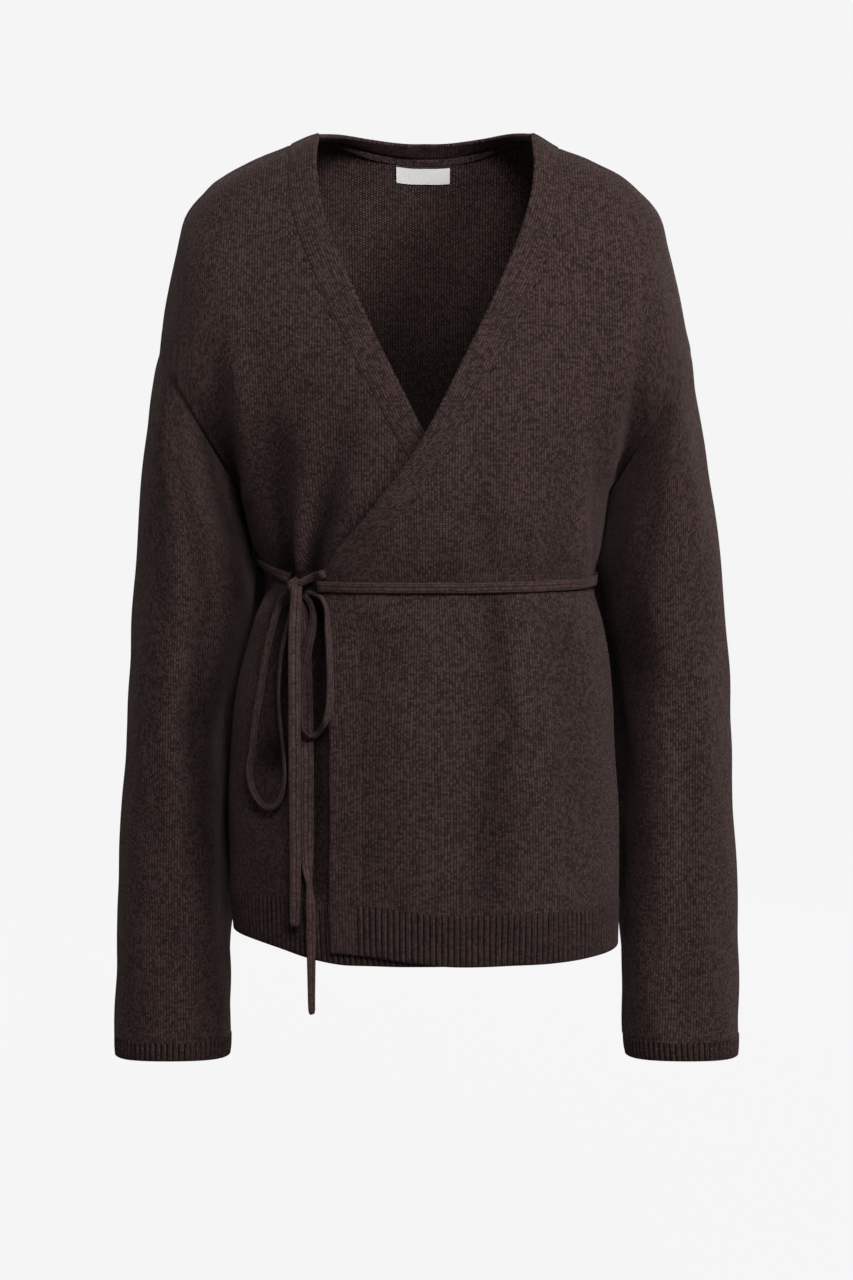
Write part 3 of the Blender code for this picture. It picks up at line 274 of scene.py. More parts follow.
def yoke(sigma, share, face):
    """The form above the underarm, between that section, the shoulder line, the centre line and the armhole."""
    side = np.where(sigma >= 0, 1.0, -1.0)
    out = np.abs(sigma)
    up = smooth(share)[..., None]
    across = (out**3)[..., None]
    line = np.where(side[..., None] > 0, through(SHOULDER_LEFT, out), through(SHOULDER_RIGHT, out))
    reach, height = np.moveaxis(line, -1, 0)
    bottom = body_section(sigma, np.full_like(out, UNDERARM_BELOW), face)
    top = points(side * reach, 0.0, height)
    depth, rise = np.moveaxis(through(CENTRE_FRONT if face < 0 else CENTRE_BACK, share), -1, 0)
    inner = points(0.0, face * depth, rise)
    outer = armhole(share, side, face)
    first, last = np.zeros_like(out), np.ones_like(out)
    inner_ends = (1 - up) * body_section(first, np.full_like(out, UNDERARM_BELOW), face)
    inner_ends = inner_ends + up * points(first, first, SHOULDER[0].height)
    outer_ends = (1 - up) * armhole(first, side, face) + up * armhole(last, side, face)
    lofted = (1 - up) * bottom + up * top
    return lofted + (1 - across) * (inner - inner_ends) + across * (outer - outer_ends)


def hem_raise(reach, lapping):
    """How much higher than level the hem hangs: at the tied side, and at the lapping front's corner."""
    if lapping:
        return 0.010 * (1 - smooth((reach + 0.0745) / 0.110))
    return 0.014 * smooth((-reach - 0.060) / 0.090)


def form(sigma, level, face, lapping=False):
    """The garment's smooth form: level 0 is the hem, 1 the underarm and 2 the shoulder line."""
    sigma, level = np.broadcast_arrays(np.asarray(sigma, float), np.asarray(level, float))
    down = 1 - np.clip(level, 0.0, 1.0)
    below = UNDERARM_BELOW + (HEM_BELOW - UNDERARM_BELOW) * down
    lower = body_section(sigma, below, face)
    lower[..., 2] += hem_raise(lower[..., 0], lapping) * down
    upper = yoke(sigma, np.clip(level - 1, 0.0, 1.0), face)
    return np.where((level <= 1)[..., None], lower, upper)


def trough(folds, reach, below):
    """How deep the folds are at a place of the front or back."""
    total = np.zeros_like(reach)
    for f in folds:
        run = np.array([f.reach1 - f.reach0, f.below1 - f.below0])
        t = ((reach - f.reach0) * run[0] + (below - f.below0) * run[1]) / (run @ run)
        along = np.clip(t, 0.0, 1.0)
        off = np.hypot(reach - f.reach0 - along * run[0], below - f.below0 - along * run[1])
        width = f.width0 + (f.width1 - f.width0) * along
        total += (f.depth0 + (f.depth1 - f.depth0) * along) * np.exp(-((off / width) ** 2))
    return total


# Knitted cloth is never quite even: long low waves, as wavelengths and heights
Wave = namedtuple("Wave", "across down height start")
WAVES = [
    Wave(0.071, 0.190, 0.00045, 0.4),
    Wave(-0.113, 0.083, 0.00040, 2.1),
    Wave(0.037, 0.127, 0.00022, 4.4),
    Wave(0.052, -0.061, 0.00020, 1.3),
]


def unevenness(across, down):
    total = np.zeros(np.broadcast(across, down).shape)
    for wave in WAVES:
        total += wave.height * np.sin(2 * math.pi * (across / wave.across + down / wave.down) + wave.start)
    return total


def normals(grid):
    """The outward directions of a grid whose columns run towards +X and rows upwards, in front."""
    return unit(np.cross(np.gradient(grid, axis=1), np.gradient(grid, axis=0)))


LAP_LIFT = 0.0042
LAP_FREE = 0.140
LAP_FADE = 0.050


def draped(sigma, level, face, folds, lapping=False):
    """The outer points of a panel on the form, with its folds, the belt's groove and the lap."""
    grid = form(sigma, level, face, lapping)
    reach, below = grid[..., 0], -grid[..., 2]
    out = normals(grid) * -face
    move = -trough(folds, reach, below)
    move += unevenness(reach + 0.3 * (face > 0), below)
    move -= WAIST_GROOVE * np.exp(-(((below - WAIST_BELOW) / 0.013) ** 2))
    if lapping:
        lap = smooth((LAP_FREE - reach) / LAP_FADE) * smooth((below - 0.150) / 0.080)
        move = move + LAP_LIFT * lap
    start = 0.90 + 0.045 * smooth((level - 1.0) / 0.08)
    side = 1 - smooth((np.abs(sigma) - start) / (0.99 - start))
    return grid + out * (move * side)[..., None]


def armhole_normals(share, side, face):
    """Directions in the armhole's plane, out of the arm, so that both walls meet face to face there."""
    step = 1e-3
    tangent = armhole(share + step, side, face) - armhole(share - step, side, face)
    ends = (share < step) | (share > 1 - step)
    tangent[ends] = (0.0, face, 0.0)
    axis = np.array([side * (UNDERARM_BELOW - DROP_BELOW), 0.0, -(DROP_REACH - UNDERARM_REACH)])
    out = unit(np.cross(tangent, unit(axis)))
    centre = (armhole(np.zeros(1), side, face) + armhole(np.ones(1), side, face)) / 2
    outward = ((armhole(share, side, face) - centre) * out).sum(-1)
    return out * np.sign(outward)[..., None]


def gauge(sigma, level, face, columns=241, rows=301):
    """How far each point of a panel is across, from the centre, and up, from the hem, along the cloth.
    Below the underarm the count of wales stays, and the waist draws them closer."""
    s, l = np.linspace(-1.0, 1.0, columns), np.linspace(0.0, 2.0, rows)
    grid = form(*np.meshgrid(s, l), face)
    first = np.zeros((rows, 1))
    across = np.linalg.norm(np.diff(grid, axis=1), axis=2)
    across = np.concatenate([first, np.cumsum(across, axis=1)], axis=1)
    across -= across[:, columns // 2, None]
    across[l <= 1] = across[np.searchsorted(l, 1.0)]
    up = np.linalg.norm(np.diff(grid, axis=0), axis=2)
    up = np.concatenate([np.zeros((1, columns)), np.cumsum(up, axis=0)], axis=0)
    x, y = (sigma + 1) / 2 * (columns - 1), level / 2 * (rows - 1)
    i, j = np.clip(x.astype(int), 0, columns - 2), np.clip(y.astype(int), 0, rows - 2)
    u, v = x - i, y - j

    def at(table):
        low = table[j, i] * (1 - u) + table[j, i + 1] * u
        high = table[j + 1, i] * (1 - u) + table[j + 1, i + 1] * u
        return low * (1 - v) + high * v

    return np.stack([at(across), at(up)], axis=-1)


def rolled(outer, inner, away, roll):
    """Three lines of points round a cloth edge, between its outer and inner lines."""
    centre, half = (outer + inner) / 2, (outer - inner) / 2
    lines = []
    for turn in (45, 90, 135):
        angle = math.radians(turn)
        lines.append(centre + half * math.cos(angle) + away * roll * math.sin(angle))
    return lines


def cloth_piece(name, outer, inner, gauge_at, finishes, rolls=None, strip=None, around=False, painted_shading=None):
    """A thin shell between two grids of points, with its knit coordinates in metres of cloth. rolls gives the edges
    that are rounded, such as "top" or "first" and how far; strip gives the cells whose stitches follow an edge, and
    their own coordinates; around joins the last column to the first; the last argument gives the painted shade on
    the colour of the outer and the inner points, deepest in the folds, with painted light where it is below zero."""
    rolls = rolls or {}
    rows, columns = outer.shape[:2]
    total = rows * columns
    corners = [outer.reshape(-1, 3), inner.reshape(-1, 3)]
    index = np.arange(total).reshape(rows, columns)
    if around:
        index = np.concatenate([index, index[:, :1]], axis=1)
    a, b, c, d = index[:-1, :-1], index[:-1, 1:], index[1:, 1:], index[1:, :-1]
    quads = np.stack([a, b, c, d], axis=-1).reshape(-1, 4)
    knit = np.stack([gauge_at[:-1, :-1], gauge_at[:-1, 1:], gauge_at[1:, 1:], gauge_at[1:, :-1]], axis=2)
    if strip is not None:
        cells, own = strip
        own = np.stack([own[:-1, :-1], own[:-1, 1:], own[1:, 1:], own[1:, :-1]], axis=2)
        knit = np.where(cells[None, :, None, None], own, knit)
    knit = knit.reshape(-1, 4, 2)
    faces = [quads, quads[:, ::-1] + total]
    maps = [knit, knit[:, ::-1]]
    kinds = [np.zeros(len(quads), int), np.ones(len(quads), int)]
    edges = {
        "bottom": (index[0], outer[0] - outer[1], gauge_at[0], False),
        "top": (index[-1], outer[-1] - outer[-2], gauge_at[-1], True),
    }
    if not around:
        edges["first"] = (index[:, 0], outer[:, 0] - outer[:, 1], gauge_at[:, 0], True)
        edges["last"] = (index[:, -1], outer[:, -1] - outer[:, -2], gauge_at[:, -1], False)
    used = 2 * total
    for edge, (line, away, at, turned) in edges.items():
        chain = [line]
        if rolls.get(edge):
            ring = line[:-1] if around else line
            o, i = outer.reshape(-1, 3)[ring], inner.reshape(-1, 3)[ring]
            for place in rolled(o, i, unit(away), rolls[edge]):
                corners.append(place)
                made = np.arange(len(place)) + used
                used += len(place)
                chain.append(np.concatenate([made, made[:1]]) if around else made)
        chain.append(line + total)
        for near, far in zip(chain[:-1], chain[1:]):
            ring = np.stack([near[:-1], far[:-1], far[1:], near[1:]], axis=-1)
            own = np.stack([at[:-1], at[:-1], at[1:], at[1:]], axis=1)
            faces.append(ring[:, ::-1] if turned else ring)
            maps.append(own[:, ::-1] if turned else own)
            kinds.append(np.zeros(len(ring), int))
    corners, faces, maps = np.concatenate(corners), np.concatenate(faces), np.concatenate(maps)
    kinds = np.concatenate(kinds)
    p = corners[faces]
    volume = np.einsum("ij,ij->i", p[:, 0], np.cross(p[:, 1], p[:, 2]) + np.cross(p[:, 2], p[:, 3])).sum()
    if volume < 0:
        faces, maps = faces[:, ::-1], maps[:, ::-1]
    mesh = bpy.data.meshes.new(name)
    mesh.from_pydata(corners.tolist(), [], faces.tolist())
    mesh.uv_layers.new(name="knit").data.foreach_set("uv", maps.reshape(-1))
    for finish in finishes:
        mesh.materials.append(finish)
    mesh.polygons.foreach_set("material_index", kinds if len(finishes) > 1 else kinds * 0)
    # Painted shade and painted light, kept on the points for the knit's colour to read
    if painted_shading is not None:
        shade = np.zeros(len(corners))
        shade[:total], shade[total : 2 * total] = (part.reshape(-1) for part in painted_shading)
        mesh.attributes.new("painted_shading", "FLOAT", "POINT").data.foreach_set("value", shade)
    mesh.shade_smooth()
    mesh.set_sharp_from_angle(angle=math.radians(62))
    piece = bpy.data.objects.new(name, mesh)
    bpy.context.scene.collection.objects.link(piece)
    return piece


class Socket:
    """A value in a finish. Sums and products with it put in the Math nodes for them."""

    def __init__(self, finish, socket):
        self.finish = finish
        self.socket = socket

    def math(self, operation, *others):
        values = dict(enumerate((self, *others)))
        return self.finish.add("ShaderNodeMath", {"operation": operation}, values)

    def __add__(self, other):
        return self.math("ADD", other)

    def __sub__(self, other):
        return self.math("SUBTRACT", other)

    def __rsub__(self, other):
        return self.finish.add("ShaderNodeMath", {"operation": "SUBTRACT"}, {0: other, 1: self})

    def __mul__(self, other):
        return self.math("MULTIPLY", other)

    def __truediv__(self, other):
        return self.math("DIVIDE", other)

    def __pow__(self, other):
        return self.math("POWER", other)

    def __abs__(self):
        return self.math("ABSOLUTE")

    __radd__ = __add__
    __rmul__ = __mul__


class Finish:
    """A material being made; add puts in any node, with its settings and the values of its sockets."""

    def __init__(self, name):
        self.material = bpy.data.materials.new(name)
        self.material.use_nodes = True
        self.tree = self.material.node_tree
        self.shader = self.tree.nodes["Principled BSDF"]

    def add(self, kind, settings=None, values=None, out=0):
        node = self.tree.nodes.new(kind)
        for key, value in (settings or {}).items():
            setattr(node, key, value)
        for key, value in (values or {}).items():
            self.put(node.inputs[key], value)
        return Socket(self, node.outputs[out])

    def put(self, socket, value):
        if isinstance(value, Socket):
            self.tree.links.new(value.socket, socket)
        else:
            socket.default_value = value

    def blend(self, share, low, high):
        """A colour between two, by a share from 0 to 1."""
        settings = {"data_type": "RGBA", "blend_type": "MIX"}
        return self.add("ShaderNodeMix", settings, {0: share, 6: low, 7: high}, 2)

    def noise(self, place, scale, detail=1.0, roughness=0.5):
        values = {"Vector": place, "Scale": scale, "Detail": detail, "Roughness": roughness}
        return self.add("ShaderNodeTexNoise", {"noise_dimensions": "3D"}, values)


# The yarn: dark brown wool with paler and redder fibres in it, brushed so that it is soft and matt
YARN = (0.0334, 0.0201, 0.0185)
YARN_PALE = (0.1050, 0.0720, 0.0690)
YARN_SHEEN = (1.0, 0.74, 0.70)
WALE = 0.0023
COURSE = 0.0019


def knit_finish(name, side, uneven, wale=WALE, course=COURSE, relief=0.00045, pitch=0.0, lightness=1.0):
    """Knitted cloth from its smooth or purl side, in metres of cloth: uneven is how much the stitches
    differ in tone, and pitch is the width of a rib where the cloth is ribbed."""
    made = Finish(name)
    place = made.add("ShaderNodeUVMap", {"uv_map": "knit"})
    bend = made.noise(place, 40.0, 2.0) - 0.5
    parts = made.tree.nodes.new("ShaderNodeSeparateXYZ")
    made.put(parts.inputs[0], place)
    reach = Socket(made, parts.outputs[0])
    across = reach / wale + bend * 0.8
    up = Socket(made, parts.outputs[1]) / course + bend * 0.6
    off = abs(across.math("FRACT") - 0.5) * 2.0
    column = across.math("FLOOR")
    # The colour is darker between the stitches and lighter on their tops: painted shade and painted highlight of the
    # stitch relief
    if side == "smooth":
        row = up - off * 0.62
        turn = 1.0 - (row.math("FRACT") * 2.0 - 1.0) ** 2.0
        height = (1.0 - off ** 3.0) * (0.40 + 0.60 * turn)
        stitch_shading = 0.28 + 1.14 * height
    else:
        row = up + (column * 0.5).math("FRACT")
        turn = 1.0 - (row.math("FRACT") * 2.0 - 1.0) ** 2.0
        height = (1.0 - off ** 2.0) * turn
        stitch_shading = 0.18 + 1.58 * height
    stitch = made.add("ShaderNodeCombineXYZ", None, {0: column, 1: row.math("FLOOR")})
    differ = made.add("ShaderNodeTexWhiteNoise", {"noise_dimensions": "2D"}, {"Vector": stitch})
    flecks = made.noise(place, 620.0, 2.0, 0.7)
    patches = made.noise(place, 45.0, 3.0, 0.6)
    # Painted shade from the pieces darkens the colour and the pale flecks; where it is below zero it is painted
    # light
    painted_shading = made.add("ShaderNodeAttribute", {"attribute_name": "painted_shading"}, None, 2)
    tone = stitch_shading * (1.0 + (differ - 0.5) * uneven) * (0.80 + 0.40 * flecks)
    tone = tone * lightness * (1.0 - painted_shading)
    if pitch:
        # Painted shade in the valleys between the ribs
        valley = abs((reach / pitch).math("FRACT") - 0.5) * 2.0
        ribbed = reach.math("GREATER_THAN", 0.0)
        tone = tone * (1.0 - 0.78 * ribbed * valley ** 2.5)
    tone = tone * (0.96 + 0.08 * patches)
    colour = made.add("ShaderNodeVectorMath", {"operation": "SCALE"}, {0: YARN, "Scale": tone})
    pale = ((flecks - 0.54) * 5.0).math("MAXIMUM", 0.0).math("MINIMUM", 1.0)
    colour = made.blend(pale * 0.24 * (1.0 - painted_shading), colour, (*YARN_PALE, 1.0))
    made.put(made.shader.inputs["Base Color"], colour)
    made.put(made.shader.inputs["Roughness"], 0.86 + 0.12 * flecks)
    bumped = height * 0.8 + flecks * 0.5 + patches * 0.5
    bump = made.add("ShaderNodeBump", None, {"Strength": 0.8, "Distance": relief, "Height": bumped})
    made.put(made.shader.inputs["Normal"], bump)
    made.shader.inputs["Specular IOR Level"].default_value = 0.08
    made.shader.inputs["Sheen Weight"].default_value = 0.07
    made.shader.inputs["Sheen Roughness"].default_value = 0.42
    made.shader.inputs["Sheen Tint"].default_value = (*YARN_SHEEN, 1.0)
    return made.material


SMOOTH_KNIT = knit_finish("stocking_stitch", "smooth", 1.0)
# The purl side is drawn 1.3 times lighter: painted light on the inside of the garment
PURL_KNIT = knit_finish("purl_side", "purl", 0.8, course=0.0021, lightness=1.30)

LEVEL_LENGTH = HEM_BELOW - UNDERARM_BELOW
RIB_TOP_LEVEL = HEM_RIB / LEVEL_LENGTH
LOWER_ROWS = 92
YOKE_ROWS = 72
EDGE_SHARES = np.array([0.0, 0.0016, 0.0032, 0.0050, 0.0072])


def panel_levels():
    """The rows of a panel, from the top of the hem rib to the shoulder line."""
    lower = RIB_TOP_LEVEL + (1 - RIB_TOP_LEVEL) * np.linspace(0.0, 1.0, LOWER_ROWS + 1)
    return np.concatenate([lower, 1 + np.arange(1, YOKE_ROWS + 1) / YOKE_ROWS])


SEAM_RIDGE = 0.0007
SEAM_RIDGE_WIDTH = 0.0034


def panel(name, sigma, level, face, folds, thickness, raised, lapping, armholes, rolls, strip=None):
    """A front or back: its wall, cut at the plane of the side and shoulder seams and at the armholes.
    The body stands in a low ridge beside the armhole seam."""
    outer = draped(sigma, level, face, folds, lapping)
    out = normals(outer) * -face
    seams = (np.abs(sigma) > 0.9999) & (level <= 1.0001) | (level > 1.9999)
    out[seams, 1] = 0.0
    out[0, :, 2] = 0.0
    out = unit(out)
    for side in armholes:
        column = -1 if side > 0 else 0
        upper = level[:, column] >= 0.9999
        share = level[upper, column] - 1
        outer[upper, column] = armhole(share, side, face)
        off = np.linalg.norm(outer - outer[:, column, None], axis=2)
        ridge = np.exp(-(((off - 0.0042) / SEAM_RIDGE_WIDTH) ** 2)) * (off > 1e-9)
        ridge = ridge * smooth((level - 1.0) / 0.06) * smooth((2.0 - level) / 0.30)
        outer += out * (SEAM_RIDGE * ridge)[..., None]
        out[upper, column] = armhole_normals(share, side, face)
    outer = outer + out * raised[..., None]
    inner = outer - out * thickness[..., None]
    for grid in (outer, inner):
        if face < 0:
            grid[..., 1] = np.minimum(grid[..., 1], 0.0)
        else:
            grid[..., 1] = np.maximum(grid[..., 1], 0.0)
    below = -outer[..., 2]
    # Painted shade on the colour deep in the folds, and painted light on the ridges
    depth = trough(folds, outer[..., 0], below) / 0.0100
    shade = 0.74 * np.clip(depth, 0.0, 1.0) ** 1.25 - 0.55 * np.clip(-depth, 0.0, 0.6)
    # Painted shade on the panel's inner side, darker lower down inside the garment
    inside = 0.72 * smooth((below - 0.070) / 0.150)
    knit = gauge(sigma, level, face)
    finishes = [SMOOTH_KNIT, PURL_KNIT]
    piece = cloth_piece(name, outer, inner, knit, finishes, rolls, strip, painted_shading=(shade, inside))
    return piece, outer, inner


BACK_NECK_SHARE = 0.825
BAND_TOP_SHARE = 0.868
NECK_CURVE = 2.3
BAND_REACH = 0.0100
SHOULDER_LENGTH = 0.325
NECK_HALF_COLUMNS = 24
BACK_SIDE_COLUMNS = 40


def back_neck(psi, inset):
    """The neck edge of the back: psi is 0 at the centre, 1 at the shoulder line, and inset runs from
    the panel's edge, 0, to the band's top, 1. Gives sigma and the share of the yoke."""
    end = NECK_SHARE + (1 - inset) * BAND_REACH / SHOULDER_LENGTH
    low = BACK_NECK_SHARE + (BAND_TOP_SHARE - BACK_NECK_SHARE) * inset
    return end * psi, 1 - (1 - low) * (1 - np.abs(psi) ** NECK_CURVE)


neck_end = back_neck(1.0, 0.0)[0]
beyond = neck_end + (1 - neck_end) * (1 - (1 - np.linspace(0.0, 1.0, BACK_SIDE_COLUMNS + 1)[1:]) ** 1.25)
half = np.concatenate([neck_end * np.linspace(0.0, 1.0, NECK_HALF_COLUMNS + 1), beyond])
back_sigma = np.concatenate([-half[:0:-1], half])
back_level = panel_levels()
neck_psi = np.clip(np.abs(back_sigma) / neck_end, 0.0, 1.0)
back_rows = np.minimum(back_level[:, None], 1.0)
back_rows = back_rows + np.clip(back_level[:, None] - 1, 0.0, 1.0) * back_neck(neck_psi, 0.0)[1][None, :]
back_sigma = np.broadcast_to(back_sigma, back_rows.shape).copy()
even = np.full(back_rows.shape, CLOTH)
back, BACK_OUTER, BACK_INNER = panel(
    "back_panel", back_sigma, back_rows, 1, BACK_FOLDS, even, even * 0, False, (1, -1), {}
)
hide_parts("back")
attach(back, "root")


# The fronts: the left one laps over the right one. Each has a plain strip up its front edge and the
# V, knitted on with its wales along the edge, and sewn to nothing but the shoulder, side and sleeve.
EDGE_STRIP = 0.024
STRIP_RAISE = 0.0005

# How far the left front's edge is from the centre line, negative past it
EdgePoint = namedtuple("EdgePoint", "below reach")
V_EDGE = [
    EdgePoint(-0.010, 0.0870),
    EdgePoint(0.000, 0.0872),
    EdgePoint(0.030, 0.0880),
    EdgePoint(0.056, 0.0840),
    EdgePoint(0.085, 0.0750),
    EdgePoint(0.117, 0.0620),
    EdgePoint(0.156, 0.0440),
    EdgePoint(0.199, 0.0225),
    EdgePoint(0.239, 0.0020),
    EdgePoint(0.262, -0.0120),
    EdgePoint(0.300, -0.0400),
    EdgePoint(0.346, -0.0745),
    EdgePoint(0.362, -0.0790),
    EdgePoint(0.400, -0.0755),
    EdgePoint(0.450, -0.0745),
    EdgePoint(0.700, -0.0745),
]
RIGHT_FRONT_FOLDS = [
    Fold(-0.1700, 0.160, -0.1560, 0.285, 0.0100, 0.0070, 0.0008, 0.0062),
    Fold(-0.1500, 0.150, -0.1410, 0.290, 0.0100, 0.0085, -0.0016, -0.0046),
    Fold(-0.119, 0.215, -0.111, 0.352, 0.014, 0.0070, 0.0018, 0.0125),
    Fold(-0.062, 0.225, -0.092, 0.355, 0.016, 0.0075, 0.0020, 0.0125),
    Fold(-0.0885, 0.374, -0.086, 0.600, 0.0085, 0.010, 0.0135, 0.0070),
    Fold(-0.1120, 0.380, -0.123, 0.500, 0.010, 0.014, 0.0100, 0.0070),
    Fold(-0.1230, 0.500, -0.122, 0.620, 0.014, 0.018, 0.0050, 0.0010),
    Fold(-0.101, 0.280, -0.1015, 0.352, 0.009, 0.006, -0.0015, -0.0055),
    Fold(0.000, 0.236, -0.072, 0.340, 0.0060, 0.0060, 0.0046, 0.0036),
    Fold(-0.134, 0.320, -0.118, 0.356, 0.008, 0.006, 0.0010, 0.0035),
    Fold(-0.1210, 0.379, -0.1420, 0.450, 0.006, 0.010, 0.0040, 0.0006),
    Fold(-0.1060, 0.382, -0.1080, 0.560, 0.005, 0.009, -0.0022, -0.0006),
]
LAP_FOLDS = [
    Fold(-0.046, 0.400, -0.043, 0.610, 0.020, 0.026, 0.0030, 0.0030),
    Fold(0.050, 0.390, 0.052, 0.640, 0.022, 0.028, 0.0030, 0.0035),
]
LEFT_FRONT_FOLDS = [
    Fold(0.1800, 0.120, 0.1600, 0.275, 0.0100, 0.0068, 0.0008, 0.0058),
    Fold(0.1680, 0.110, 0.1480, 0.270, 0.0100, 0.0080, -0.0014, -0.0040),
    Fold(0.1190, 0.190, 0.1265, 0.352, 0.011, 0.0070, -0.0008, -0.0046),
    Fold(0.1330, 0.250, 0.1350, 0.352, 0.0060, 0.0050, 0.0004, 0.0022),
    Fold(0.118, 0.250, 0.100, 0.350, 0.016, 0.010, 0.0010, 0.0035),
    Fold(0.112, 0.400, 0.118, 0.560, 0.010, 0.022, 0.0040, 0.0015),
    Fold(0.042, 0.235, 0.050, 0.345, 0.016, 0.010, 0.0008, 0.0036),
    Fold(0.076, 0.270, 0.072, 0.350, 0.012, 0.008, 0.0004, 0.0018),
    Fold(0.010, 0.290, 0.014, 0.350, 0.010, 0.008, 0.0002, 0.0014),
    Fold(0.054, 0.378, 0.062, 0.470, 0.008, 0.010, 0.0028, 0.0036),
    Fold(0.062, 0.470, 0.048, 0.600, 0.010, 0.016, 0.0036, 0.0018),
    Fold(0.070, 0.378, 0.076, 0.520, 0.007, 0.012, -0.0012, -0.0014),
    Fold(0.018, 0.378, 0.018, 0.430, 0.007, 0.012, 0.0018, 0.0002),
    Fold(-0.020, 0.378, -0.024, 0.450, 0.008, 0.014, 0.0016, 0.0002),
    Fold(0.094, 0.378, 0.102, 0.440, 0.007, 0.012, 0.0020, 0.0004),
]
LEFT_FOLDS = LAP_FOLDS + LEFT_FRONT_FOLDS
RIGHT_FOLDS = LAP_FOLDS + RIGHT_FRONT_FOLDS
STRIP_STEPS = np.array([0.0, 0.0020, 0.0050, 0.0085, 0.0120, 0.0155, 0.0190, 0.0215, 0.0232, 0.0240, 0.0248, 0.0262])


def edge_sigma(level, side):
    """Where each row of a front meets its neck or front edge, found by halving."""
    low, high = np.full_like(level, -0.75), np.full_like(level, 0.75)
    for _ in range(40):
        middle = (low + high) / 2
        place = form(side * middle, level, -1)
        reach = through(V_EDGE, -place[..., 2])[..., 0]
        past = side * place[..., 0] > reach
        high = np.where(past, middle, high)
        low = np.where(past, low, middle)
    return side * (low + high) / 2


def front(name, node, side, count, folds, lapping):
    """One front: a strip of even width at the edge, then even steps to the side seam and armhole."""
    level = panel_levels()
    edge = edge_sigma(level, side)
    fine = np.linspace(0.0, 1.0, 241)
    across = edge[:, None] + (side - edge[:, None]) * fine
    row = form(across, np.broadcast_to(level[:, None], across.shape), -1)
    along = np.cumsum(np.linalg.norm(np.diff(row, axis=1), axis=2), axis=1)
    along = np.concatenate([np.zeros((len(level), 1)), along], axis=1)
    rest = 1 - (1 - np.linspace(0.0, 1.0, count + 1)[1:]) ** 1.15
    at = [np.concatenate([STRIP_STEPS, STRIP_STEPS[-1] + (a[-1] - STRIP_STEPS[-1]) * rest]) for a in along]
    sigma = np.array([np.interp(at[k], along[k], across[k]) for k in range(len(level))])
    sigma[:, -1] = side
    edge_line = form(edge, level, -1)
    down = np.concatenate([[0.0], np.cumsum(np.linalg.norm(np.diff(edge_line, axis=0), axis=1))])
    own = np.stack(np.broadcast_arrays(np.array(at), down[:, None]), axis=-1)
    offset = np.array(at)
    raised = STRIP_RAISE * smooth((EDGE_STRIP - offset) / 0.0012)
    groove = 0.0004 * np.exp(-(((offset - EDGE_STRIP - 0.0004) / 0.0011) ** 2))
    raised = raised - groove
    cells = np.concatenate([STRIP_STEPS[1:] <= EDGE_STRIP + 1e-6, np.zeros(count, bool)])
    levels = np.broadcast_to(level[:, None], sigma.shape).copy()
    edge_name = "first" if side > 0 else "last"
    if side < 0:
        sigma, levels, raised = sigma[:, ::-1], levels[:, ::-1], raised[:, ::-1]
        own, cells = own[:, ::-1], cells[::-1]
    thickness = np.full(sigma.shape, CLOTH) + raised
    piece, outer, inner = panel(
        name, sigma, levels, -1, folds, thickness, raised, lapping, (side,), {edge_name: 0.0012}, (cells, own)
    )
    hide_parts(node)
    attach(piece, "root")
    return piece, outer, inner, sigma, levels


left_front, LEFT_OUTER, LEFT_INNER, LEFT_SIGMA, LEFT_LEVEL = front(
    "left_front", "front_left", 1, 62, LEFT_FOLDS, True
)
right_front, RIGHT_OUTER, RIGHT_INNER, RIGHT_SIGMA, RIGHT_LEVEL = front(
    "right_front", "front_right", -1, 62, RIGHT_FOLDS, False
)


# The shaping marks: two stitches knitted together every few rows beside the strip along the V, laid as short
# slanting strokes whose dark colour is painted shade of each decrease.
MARK_STEP = 0.021
MARK_LENGTH = 0.0066
MARK_WIDTH = 0.0011
MARK_HEIGHT = 0.0010


def nodes_for(tree):
    """Puts nodes in a Geometry Nodes tree, with their settings and the values of their sockets."""

    def node(kind, settings=None, values=None):
        made = tree.nodes.new(kind)
        for key, value in (settings or {}).items():
            setattr(made, key, value)
        for key, value in (values or {}).items():
            if isinstance(value, bpy.types.NodeSocket):
                tree.links.new(value, made.inputs[key])
            else:
                made.inputs[key].default_value = value
        return made.outputs[0]

    return node


def new_tree(name, inputs):
    """An empty tree that takes and gives geometry, with named inputs."""
    tree = bpy.data.node_groups.new(name, "GeometryNodeTree")
    for label, kind in [("Base", "Geometry"), *inputs]:
        tree.interface.new_socket(label, in_out="INPUT", socket_type="NodeSocket" + kind)
    tree.interface.new_socket("Made", in_out="OUTPUT", socket_type="NodeSocketGeometry")
    return tree, tree.nodes.new("NodeGroupInput"), tree.nodes.new("NodeGroupOutput")


def made_by(tree, base, values):
    """Runs a Geometry Nodes tree on a piece and keeps the result as its plain mesh."""
    modifier = base.modifiers.new("made", "NODES")
    modifier.node_group = tree
    for item in tree.interface.items_tree:
        if item.in_out == "INPUT" and item.name in values:
            modifier[item.identifier] = values[item.name]
    graph = bpy.context.evaluated_depsgraph_get()
    result = bpy.data.meshes.new_from_object(base.evaluated_get(graph))
    base.modifiers.remove(modifier)
    base.data = result
    return base


